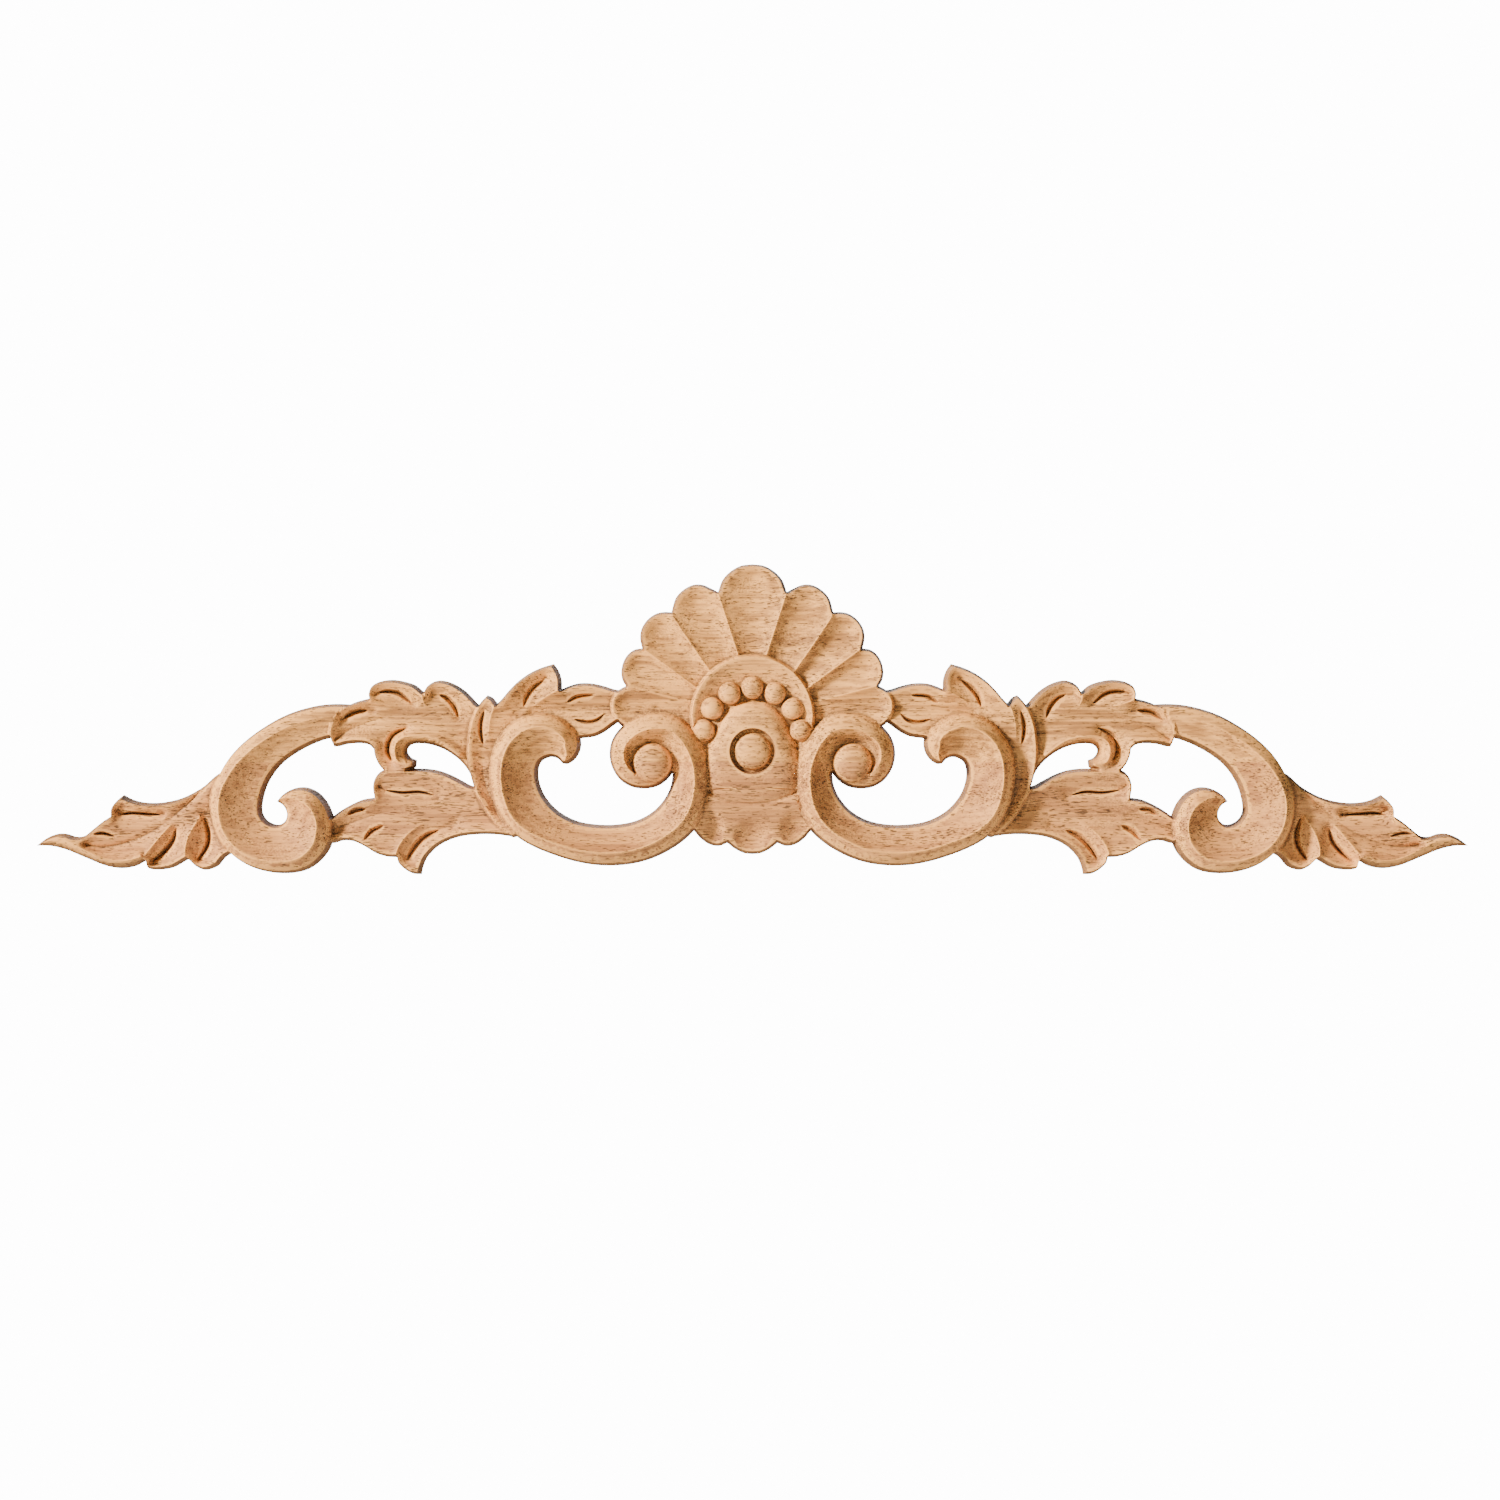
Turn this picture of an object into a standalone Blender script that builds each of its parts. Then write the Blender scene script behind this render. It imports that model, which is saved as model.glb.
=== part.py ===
"""Crown applique: one carved board of wood, flat at the back, fixed by its back to a cornice or a door.

A fluted shell over a beaded cartouche stands in the middle, between two C-scrolls with a ball in
one end. Acanthus leaves, an outer scroll and a pointed tail leaf follow on each side. All of it is
cut from one piece, as a relief with no undercuts, so the solid is a height above a flat back.

The plan is drawn for the left half, looking at the front, and mirrored. X runs to the right,
+Z up, and the front faces -Y. The origin is on the flat back, in the middle.
"""

import math

import bmesh
import bpy
import numpy as np
from mathutils import Vector
from mathutils.geometry import delaunay_2d_cdt

# Driving sizes, in metres.
LENGTH = 0.600  # from tip to tip
WALL_LEAN = 0.0014  # how far a side wall leans in, from the back to its top edge
STEP_LEAN = 0.0006  # the same for a small form that stands on another

# Heights of the relief above the back, in metres.
SCROLL_CREST = 0.0170  # arris of the inner C-scroll
SCROLL_EDGE = 0.0095  # top of its outer wall
SCROLL_FLOOR = 0.0098  # bottom of its hollow
SCROLL_BALL = 0.0158  # top of the ball in its eye
EYE_FLOOR = 0.0108  # bottom of the hollow around the ball
OUTER_CREST = 0.0140
OUTER_EDGE = 0.0080
OUTER_FLOOR = 0.0078
LEAF_EDGE = 0.0100  # rims of the acanthus leaves
LEAF_HOLLOW = 0.0056  # their veins
COLLAR_EDGE = 0.0125  # rim of the leaf that wraps the inner scroll
COLLAR_HOLLOW = 0.0080
TAIL_EDGE = 0.0095
TAIL_HOLLOW = 0.0038
TAIL_ROLL = 0.0118  # crest of the edge that rolls over at the tail's tip
SHELL_EDGE = 0.0120
SHELL_HOLLOW = 0.0076
DISH_EDGE = 0.0130  # arris of the ring around the beads
DISH_FLOOR = 0.0080
DOME_TOP = 0.0145
DOME_EDGE = 0.0092
DOME_FOOT = 0.0115  # its lower end, a shallow groove against the skirt
BOSS_TOP = 0.0155
BOSS_GROOVE = 0.0115
BEAD_TOP = 0.0135
BEAD_FOOT = 0.0090
SKIRT_TOP = 0.0126
SKIRT_EDGE = 0.0085
SPOON_DEPTH = 0.0026  # of the three hollows of the skirt
GOUGE_DEPTH = 0.0028  # of the almond-shaped cuts in the leaves

# Fineness of the mesh, in units of the plan.
CURVE_ERROR = 0.16
LINE_STEP = 7.0
FILL_STEP = 5.5
MIRROR_REACH = 0.05  # a point nearer to the mirror plane lies on it

# The plan. One unit is a 600th of the length, so a millimetre at full size.
PLAN_UNIT = LENGTH / 600
SPAN_STEPS = 8  # samples in each span of a smooth line


def smooth(points):
    """A Catmull-Rom curve through the points, sampled closely."""
    knots = np.array(points, float)
    if len(knots) < 3:
        return knots
    knots = np.vstack([2 * knots[0] - knots[1], knots, 2 * knots[-1] - knots[-2]])
    t = np.linspace(0, 1, SPAN_STEPS, endpoint=False)[:, None]
    spans = []
    for a, b, c, d in zip(knots, knots[1:], knots[2:], knots[3:]):
        bend = (2 * a - 5 * b + 4 * c - d) * t**2 + (3 * b - a - 3 * c + d) * t**3
        spans.append(0.5 * (2 * b + (c - a) * t + bend))
    return np.vstack(spans + [knots[-2:-1]])


def thinned(line, error, longest):
    """The fewest points of a line that keep it within an error, and no two further apart than longest."""
    keep = np.zeros(len(line), bool)
    keep[[0, -1]] = True
    pending = [(0, len(line) - 1)]
    while pending:
        first, last = pending.pop()
        if last - first < 2:
            continue
        chord = line[last] - line[first]
        length = math.hypot(*chord)
        offset = line[first + 1 : last] - line[first]
        if length > 1e-9:
            away = np.abs(chord[0] * offset[:, 1] - chord[1] * offset[:, 0]) / length
        else:
            away = np.hypot(offset[:, 0], offset[:, 1])
        worst = int(away.argmax())
        if away[worst] > error or length > longest:
            middle = first + 1 + worst if away[worst] > error else (first + last) // 2
            keep[middle] = True
            pending += [(first, middle), (middle, last)]
    return line[keep]


def nearest(points, line):
    """The distance from each point to a line, and where along it the nearest place is, from 0 to 1."""
    start, step = line[:-1], np.diff(line, axis=0)
    length = np.hypot(step[:, 0], step[:, 1])
    begun = np.concatenate([[0], np.cumsum(length)[:-1]])
    distance = np.empty(len(points))
    along = np.empty(len(points))
    for first in range(0, len(points), 4000):
        rows = slice(first, first + 4000)
        offset = points[rows, None, :] - start[None]
        share = np.clip((offset * step).sum(2) / np.maximum(length**2, 1e-12), 0, 1)
        gap = offset - share[..., None] * step
        squared = (gap**2).sum(2)
        best = squared.argmin(1)
        index = np.arange(len(best))
        distance[rows] = np.sqrt(squared[index, best])
        along[rows] = (begun[best] + share[index, best] * length[best]) / length.sum()
    return distance, along


def inside(points, ring):
    """Which points lie in a closed ring."""
    x, z = points[:, 0], points[:, 1]
    within = np.zeros(len(points), bool)
    for (x0, z0), (x1, z1) in zip(ring, np.roll(ring, -1, axis=0)):
        if z0 == z1:
            continue
        crosses = (z0 > z) != (z1 > z)
        within ^= crosses & (x < x0 + (z - z0) * (x1 - x0) / (z1 - z0))
    return within


def arc(centre, radius, first, last, count=24):
    """Points on a circle between two angles in degrees."""
    angles = np.radians(np.linspace(first, last, count))
    return np.column_stack([centre[0] + radius * np.cos(angles), centre[1] + radius * np.sin(angles)])


def shifted(line, distance):
    """The stretches of a line's parallel on its left (right if negative) that stay clear of it."""
    along = np.gradient(line, axis=0)
    along /= np.maximum(np.hypot(along[:, 0], along[:, 1]), 1e-9)[:, None]
    moved = line + distance * np.column_stack([-along[:, 1], along[:, 0]])
    clear = nearest(moved, line)[0] > 0.985 * abs(distance)
    return stretches(moved, clear)


def stretches(line, wanted):
    """The runs of consecutive wanted points of a line."""
    found, run = [], []
    for point, good in zip(line, wanted):
        if good:
            run.append(point)
        elif run:
            found.append(np.array(run))
            run = []
    if run:
        found.append(np.array(run))
    return [run for run in found if len(run) > 1]


class Line:
    """A smooth line of the plan, with its height above the back at its two ends."""

    def __init__(self, height, points, end=None):
        self.curve = smooth(points)
        self.height = height
        self.end = height if end is None else end

    def height_at(self, along):
        return self.height + (self.end - self.height) * along

    def with_mirrored(self):
        """The line, and its mirror image too if it reaches the mirror plane at one end."""
        x = self.curve[:, 0]
        if x.max() < -MIRROR_REACH or x.min() > -MIRROR_REACH:
            return [self]
        other = Line(self.height, self.curve[[0, -1]], self.end)
        other.curve = self.curve * (-1, 1)
        return [self, other]


def curves(lines):
    return [line.curve for line in lines]


class Gouge:
    """An almond-shaped cut of a V-tool, along a smooth line."""

    def __init__(self, points, width=1.5, depth=GOUGE_DEPTH):
        self.curve = smooth(points)
        self.width = width
        self.depth = depth

    def cut(self, points):
        distance, along = nearest(points, self.curve)
        half_width = self.width * np.sqrt(np.clip(4 * along * (1 - along), 1e-6, 1))
        shallower = np.minimum(1, half_width / self.width + 0.1)
        return self.depth * np.clip(1 - distance / half_width, 0, 1) * shallower

    def lines(self):
        along = np.linspace(0, 1, len(self.curve))
        half_width = self.width * np.sqrt(4 * along * (1 - along))
        step = np.gradient(self.curve, axis=0)
        step /= np.hypot(step[:, 0], step[:, 1])[:, None]
        side = np.column_stack([-step[:, 1], step[:, 0]]) * half_width[:, None]
        return [self.curve, self.curve + side, self.curve - side]


class Form:
    """One carved form: a ring of runs around it, and a surface inside the ring.

    A run is (height of its top edge, points). The next run starts where it ends, at a corner.
    A pair of heights belongs to the run's two ends. A height of None marks a run with no wall, under
    a later form or on the mirror plane. A form that is raised adds to what is under it, and cuts
    nothing away.
    """

    def __init__(self, runs, surface, lines=(), gouges=(), raised=False, lean=WALL_LEAN):
        corner = runs[-1][1][-1]
        self.raised = raised
        self.lean = lean / PLAN_UNIT
        self.walls, pieces = [], []
        for height, points in runs:
            points = [corner] + list(points)
            corner = points[-1]
            if height is None:
                curve = np.array(points, float)
            else:
                first, last = height if isinstance(height, tuple) else (height, height)
                line = Line(first, points, last)
                curve = line.curve
                self.walls += line.with_mirrored()
            pieces.append(thinned(curve, CURVE_ERROR, LINE_STEP)[:-1])
        self.ring = np.vstack(pieces)
        self.surface, self.carved_lines, self.gouges = surface, list(lines), list(gouges)

    def covers(self, points):
        low, high = self.ring.min(0), self.ring.max(0)
        near = ((points >= low) & (points <= high)).all(1)
        near[near] = inside(points[near], self.ring)
        return near

    def wall_distance(self, points):
        return np.min([nearest(points, wall.curve)[0] for wall in self.walls], axis=0)

    def height(self, points):
        height = self.surface(self, points)
        for gouge in self.gouges:
            height = height - gouge.cut(points)
        return height

    def lines(self):
        """Lines that the mesh follows inside the form."""
        found = [line for gouge in self.gouges for line in gouge.lines()]
        found += [line for line in self.carved_lines]
        for wall in self.walls:
            if wall.curve[:, 0].max() > MIRROR_REACH:
                continue
            for side in (self.lean, -self.lean):
                for run in shifted(wall.curve, side):
                    keep = self.covers(run) & (self.wall_distance(run) > 0.95 * self.lean)
                    found += stretches(run, keep)
        return found


def pull(points, line):
    """The pull of a line on each point, by the inverse fourth power of the distance summed along it."""
    start, step = line[:-1], np.diff(line, axis=0)
    length = np.hypot(step[:, 0], step[:, 1])
    start, step, length = start[length > 1e-9], step[length > 1e-9], length[length > 1e-9]
    along = step / length[:, None]
    total = np.empty((len(points), len(length)))
    for first in range(0, len(points), 4000):
        rows = slice(first, first + 4000)
        offset = start[None] - points[rows, None, :]
        near = (offset * along).sum(2)
        far = near + length
        away = np.maximum(np.abs(offset[..., 0] * along[:, 1] - offset[..., 1] * along[:, 0]), 0.01)
        spread = far / (far**2 + away**2) - near / (near**2 + away**2)
        total[rows] = (spread + (np.arctan(far / away) - np.arctan(near / away)) / away) / (2 * away**2)
    return total


def soft_distance(total):
    """The distance that a long straight line of this pull would have."""
    return (math.pi / (2 * total)) ** (1 / 3)


def blended(points, lines):
    """The soft distance to several lines, with no crease where two are as near, and their height there."""
    pulls, heights = np.zeros(len(points)), np.zeros(len(points))
    for line in lines:
        each = pull(points, line.curve)
        along = place_along(line.curve)
        middles = line.height_at((along[1:] + along[:-1]) / 2)[: each.shape[1]]
        pulls += each.sum(1)
        heights += each @ middles
    return soft_distance(pulls), heights / pulls


def hollow(highs, lows, power=2.4, crease=0.65):
    """A surface that hangs between high lines, the form's own edges among them, and low lines.

    crease is how much of the drop is a straight V down to the low lines. The rest is a hollow.
    """
    highs = [each for line in highs for each in line.with_mirrored()]
    lows = [each for line in lows for each in line.with_mirrored()]

    def surface(form, points):
        high_distance, high = blended(points, form.walls + highs)
        low_distance, low = blended(points, lows)
        share = low_distance / (high_distance + low_distance)
        return low + (high - low) * (crease * share + (1 - crease) * share**power)

    return surface


COVE_POWER = 1.7  # 1 is a straight slope, 2 a round hollow


def scroll(outer, inner, rim, crest, edge, floor, eye=None):
    """A band with a rounded bevel along its outer edge, and a cove from its arris to the inner edge.

    rim, crest and floor list (place along the outer edge, value).
    """
    arris = rim_line(outer, inner, rim, 1)
    places = [nearest((run[1:] + run[:-1]) / 2, outer)[1] for run in arris]
    tops = [np.interp(place, *zip(*crest)) for place in places]
    floors = [np.interp(place, *zip(*floor)) for place in places]

    def surface(form, points):
        pulls = [pull(points, run) for run in arris]
        total = sum(each.sum(1) for each in pulls)
        top = sum(each @ height for each, height in zip(pulls, tops)) / total
        low_floor = np.minimum(sum(each @ height for each, height in zip(pulls, floors)) / total, top - 0.002)
        from_arris = soft_distance(total)
        from_outer, along = nearest(points, outer)
        low_edge = np.minimum(edge, top - 0.001)
        up = from_outer / (from_outer + from_arris)
        flank = low_edge + (top - low_edge) * (0.6 * up + 0.4 * np.sqrt(1 - (1 - up) ** 2))
        from_inner = soft_distance(pull(points, inner).sum(1))
        if eye is not None:
            from_inner = np.minimum(from_inner, np.abs(np.hypot(*(points - eye[0]).T) - eye[1]))
        cove = low_floor + (top - low_floor) * (from_inner / (from_arris + from_inner)) ** COVE_POWER
        rim_width = np.interp(along, *zip(*rim))
        blend_width = 0.1 + 0.6 * np.minimum(from_arris, rim_width)
        share = np.clip(1 + (from_outer - rim_width) / blend_width, 0, 1)
        return flank + (cove - flank) * share

    return surface


def place_along(line):
    """How far along a line each of its points is, from 0 to 1."""
    gone = np.concatenate([[0], np.cumsum(np.hypot(*np.diff(line, axis=0).T))])
    return gone / gone[-1]


def dome(centre, radius, top, foot):
    """A round boss."""

    def surface(form, points):
        share = np.clip(np.hypot(*(points - centre).T) / radius, 0, 1)
        return foot + (top - foot) * np.sqrt(1 - share**2)

    return surface


def pillow(top, reach):
    """A surface that rises from the form's edges, round, and is level past its reach."""

    def surface(form, points):
        distance, edge = blended(points, form.walls)
        share = np.clip(distance / reach, 0, 1)
        return edge + (top - edge) * (1 - (1 - share) ** 2.6)

    return surface


def tail_leaf():
    runs = [
        (None, [(-216, -20)]),
        (TAIL_EDGE, [(-223.5, -22.8), (-230, -28.3), (-238, -32.6), (-246, -34.6), (-253, -34.8),
            (-258.5, -33.7), (-263, -31.5)]),
        (TAIL_EDGE, [(-266.2, -34.2), (-268.4, -37.3), (-268.6, -40.6)]),
        ((TAIL_EDGE, 0.005), [(-272, -42.8), (-276, -46), (-279.5, -48.7), (-283, -49), (-286.5, -47.9),
            (-290.5, -47.8), (-295, -49.5), (-299.6, -52.8)]),
        ((0.004, 0.006), [(-293.5, -53), (-287, -54.6), (-279, -57.9), (-271, -61.1), (-264, -62.3),
            (-258, -61.4), (-254, -59.3)]),
        (TAIL_EDGE, [(-252.7, -62.3), (-248, -62.9), (-242, -61.9), (-236, -58.6)]),
        (TAIL_EDGE, [(-232.5, -61.7), (-228.5, -63), (-223.5, -61.3), (-219.7, -57.2), (-213, -54)]),
    ]
    roll = Line(0.0065, [(-298, -52.2), (-292, -50.5), (-286, -50.7), (-281, -52.8), (-275.5, -55.5),
        (-269.5, -58), (-263, -59), (-257.5, -58.2), (-254, -57)], TAIL_ROLL)
    ridges = [
        Line(TAIL_EDGE, [(-253.6, -57.5), (-250.5, -53.5), (-246.5, -48.5),
            (-242.5, -44)], TAIL_HOLLOW + 0.002),
        Line(TAIL_EDGE, [(-236, -57.5), (-236, -53), (-234.3, -47.5), (-230.5, -41)], TAIL_HOLLOW + 0.003),
    ]
    veins = [
        Line(TAIL_EDGE - 0.003, [(-222, -22.5), (-230, -30), (-240, -39.2), (-250, -46.5), (-260, -51),
            (-270, -53.2), (-278, -52.5)], TAIL_HOLLOW),
        Line(TAIL_HOLLOW, [(-246, -39.6), (-255, -39.8), (-261, -39.4), (-265, -37.8)]),
        Line(TAIL_HOLLOW, [(-249.8, -58.8), (-245, -54.5), (-242, -50), (-240.8, -46)]),
        Line(TAIL_HOLLOW, [(-230.8, -58.3), (-227.8, -53), (-227.3, -47.5), (-228.7, -41.5)]),
    ]
    gouges = [
        Gouge([(-264, -39.8), (-259, -39.1), (-253, -39.5), (-247, -39.9)], 0.9),
        Gouge([(-274.8, -47.9), (-271, -47.5), (-266, -48.9)], 0.9),
        Gouge([(-249.8, -59), (-245, -54.5), (-242, -50.5), (-240.8, -46)], 1.4),
        Gouge([(-231.2, -58.4), (-227.8, -53), (-227.2, -47.5), (-228.9, -41.2)], 1.4),
    ]
    ridges.append(roll)
    return Form(runs, hollow(ridges, veins, 2.2, 0.85), curves(ridges + veins), gouges)


def lower_leaf():
    runs = [
        (None, [(-106, -36), (-112, -28)]),
        (LEAF_EDGE, [(-117, -27.8), (-121, -25.8), (-126, -23.2), (-131, -21.4), (-136, -20.6),
            (-142, -20.5), (-149, -20.6), (-154.5, -21.2), (-157.6, -24), (-158.8, -28), (-158.2, -32.7)]),
        (LEAF_EDGE, [(-163, -33.5), (-168, -35.7), (-172, -38), (-175.5, -40.5), (-179, -43)]),
        (None, [(-179, -50)]),
        (LEAF_EDGE, [(-175.5, -51.8), (-171, -50.7), (-167, -51), (-162.5, -53), (-157.5, -56),
            (-153, -57.4), (-148.8, -57.7)]),
        (LEAF_EDGE, [(-147.9, -60.3), (-145, -63), (-141.7, -64.6), (-138.3, -64.8)]),
        (LEAF_EDGE - 0.001, [(-137.6, -61.5), (-135.8, -57.5), (-132, -53.5), (-127, -50.6),
            (-121, -48.8), (-114, -48.1), (-107, -48.2), (-100, -48.9), (-97, -47)]),
    ]
    ridges = [Line(LEAF_EDGE, [(-148.6, -56.8), (-147, -52.5), (-143, -47.3),
        (-137, -43)], LEAF_HOLLOW + 0.001)]
    veins = [
        Line(LEAF_HOLLOW + 0.001, [(-108, -38), (-118, -36.3), (-130, -36.2), (-142, -37), (-154, -39),
            (-165, -42.3), (-177, -46.5)], LEAF_HOLLOW),
        Line(LEAF_HOLLOW, [(-131, -32.5), (-137, -30.5), (-146, -30.4), (-153, -29.4), (-156, -27.7)]),
        Line(LEAF_HOLLOW, [(-143.6, -58), (-140.5, -53), (-136.5, -49), (-131, -46.2), (-124, -43.5)]),
    ]
    gouges = [
        Gouge([(-153, -29.6), (-146, -30.6), (-139, -30.3), (-133, -31.6)], 0.8),
        Gouge([(-168.6, -39.7), (-165.5, -37.9), (-161, -37.3)], 1.3),
        Gouge([(-161.6, -50.2), (-158.7, -46.8), (-153.7, -44.2)], 1.4),
        Gouge([(-143.8, -58), (-140.5, -52.8), (-136.5, -48.9), (-130.8, -46.2)], 1.7),
    ]
    return Form(runs, hollow(ridges, veins), curves(ridges + veins), gouges)


OUTER_SCROLL_OUTER = [
    (-160, 5.5), (-168, 6.3), (-175, 6.5), (-182, 5.8), (-190, 3.8), (-197, 1), (-204, -3),
        (-210, -7.2), (-215, -11.6),
    (-219, -16.2), (-222.6, -22), (-225.2, -28), (-226.4, -34.5), (-226, -41), (-224.3, -47),
        (-221.2, -52.5),
    (-217.3, -57), (-212, -60.6), (-206, -63), (-199, -64.3), (-191.6, -64.2), (-185.3, -62.5),
        (-180.2, -58.8), (-176.6, -54),
    (-175, -48.9), (-174.6, -44), (-175.5, -39.3), (-177.7, -34.6), (-181.2, -30.7), (-185.5, -28.6),
        (-189.8, -28.4),
    (-194, -29.8), (-197, -31.9), (-199, -34.3),
]
OUTER_SCROLL_INNER = [
    (-199, -34.3), (-196.4, -36), (-194.9, -39), (-195.3, -42), (-197.6, -43.9), (-200.7, -43.5),
        (-203.6, -41.4),
    (-205, -38), (-204.6, -33.4), (-203.1, -28.2), (-200.8, -23.7), (-197.6, -19.5), (-194, -16.3),
        (-189, -13),
    (-183, -10), (-177, -8), (-168, -6.5), (-160, -5.5),
]


def outer_scroll():
    outer, inner = smooth(OUTER_SCROLL_OUTER), smooth(OUTER_SCROLL_INNER)
    rim = [(0, 5.5), (0.3, 5.5), (0.5, 4.5), (0.65, 5), (0.8, 6.3), (0.93, 6), (1, 0.4)]
    crest = [(0, 0.0085), (0.2, 0.0115), (0.4, OUTER_CREST), (0.9, OUTER_CREST), (1, 0.0095)]
    runs = [
        (OUTER_EDGE, OUTER_SCROLL_OUTER[1:]),
        (OUTER_FLOOR, OUTER_SCROLL_INNER[1:]),
        (None, [(-160, 5.5)]),
    ]
    lines = [run for share in (0.45, 1) for run in rim_line(outer, inner, rim, share)]
    return Form(runs, scroll(outer, inner, rim, crest, OUTER_EDGE, [(0, OUTER_FLOOR),
        (1, OUTER_FLOOR)]), lines)


def rim_line(outer, inner, rim, share):
    """The parallel of a scroll's outer edge at a share of its rim's width, eased where it bends."""
    x, z = np.vstack([outer, inner]).T
    turn = np.sign(np.sum(x * np.roll(z, -1) - z * np.roll(x, -1)))
    step = np.gradient(outer, axis=0)
    length = np.hypot(step[:, 0], step[:, 1])
    width = share * np.interp(place_along(outer), *zip(*rim))
    moved = outer + turn * width[:, None] * np.column_stack([-step[:, 1], step[:, 0]]) / length[:, None]
    clear = nearest(moved, outer)[0] > 0.97 * width
    runs = stretches(moved, clear)
    for run in runs:
        for _ in range(SPAN_STEPS**2 // 8):
            run[1:-1] = (run[:-2] + 2 * run[1:-1] + run[2:]) / 4
    return runs


def upper_leaf():
    runs = [
        (None, [(-108, -10), (-112, 5)]),
        (LEAF_EDGE, [(-114.8, 6.6), (-117, 9), (-120.5, 12.3), (-125, 15), (-129.5, 16.3), (-133, 15.9),
            (-136, 14), (-137.5, 11.6)]),
        (LEAF_EDGE, [(-141, 14.4), (-146, 16), (-151, 16.6), (-156, 15.8), (-159.3, 13.9), (-160.6, 11),
            (-160.4, 8.8)]),
        (LEAF_EDGE + 0.001, [(-165, 7.6), (-169, 5.9), (-173, 2.9), (-175.6, -0.6), (-176.9, -4.6),
            (-176.5, -8), (-175, -11.4)]),
        (LEAF_EDGE, [(-172.5, -11.2), (-169, -10.3), (-164, -10), (-160.5, -10.6), (-158.5, -12.3)]),
        (LEAF_EDGE, [(-158, -15.2), (-156.5, -18.6), (-154, -21.5), (-151, -23.1), (-147, -22.8),
            (-143.5, -21.3), (-140.8, -20), (-140.3, -17)]),
        (0.006, [(-142.6, -16), (-144.1, -14), (-144, -12), (-142, -10.4), (-138, -10.1), (-133, -11),
            (-128, -13.1), (-123, -16.6), (-119.5, -20.5), (-117, -25)]),
        (None, [(-112, -25)]),
    ]
    ridges = [
        Line(LEAF_EDGE, [(-160.2, 8.6), (-155, 6.6), (-149, 5.2)], LEAF_HOLLOW + 0.001),
        Line(LEAF_EDGE, [(-137.4, 11.4), (-137.2, 8), (-135.5, 4.5)], LEAF_HOLLOW + 0.001),
        Line(LEAF_EDGE, [(-142.5, -18.8), (-147, -18), (-148.8, -14), (-148, -9.8), (-144.5, -7.5),
            (-138, -7.2), (-130, -9.2), (-122, -15)], LEAF_EDGE - 0.001),
    ]
    veins = [
        Line(LEAF_HOLLOW, [(-174, -8.5), (-168, -4.4), (-160, -1.2), (-152, 1), (-144, 1.9),
            (-134, 0.8), (-124, -3), (-112, -9)], LEAF_HOLLOW + 0.001),
        Line(LEAF_HOLLOW, [(-171, 0), (-167, 2.4), (-162, 3.8), (-158, 3.4)]),
        Line(LEAF_HOLLOW, [(-157, 10.8), (-153, 11.3), (-148, 10.7), (-144.5, 8.5), (-141.5, 6)]),
        Line(LEAF_HOLLOW, [(-133.5, 10.4), (-130, 9.8), (-126.5, 8), (-124, 4.7), (-122.5, 0.5)]),
        Line(LEAF_HOLLOW, [(-150.5, -17), (-152.2, -12.5), (-150.3, -7), (-144.5, -3.6)]),
    ]
    gouges = [
        Gouge([(-170.4, 0.4), (-166.5, 2.9), (-160.5, 3.7)], 1.4),
        Gouge([(-156, 11.3), (-151.5, 11.6), (-147, 10.5), (-142, 6.6)], 1.2),
        Gouge([(-130.5, 10.3), (-127, 8.5), (-124.2, 5), (-122.6, 0.8)], 1.3),
        Gouge([(-150.6, -17), (-152.2, -12.5), (-150.3, -7), (-144.6, -3.8)], 1.6),
    ]
    return Form(runs, hollow(ridges, veins), curves(ridges + veins), gouges)


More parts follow.
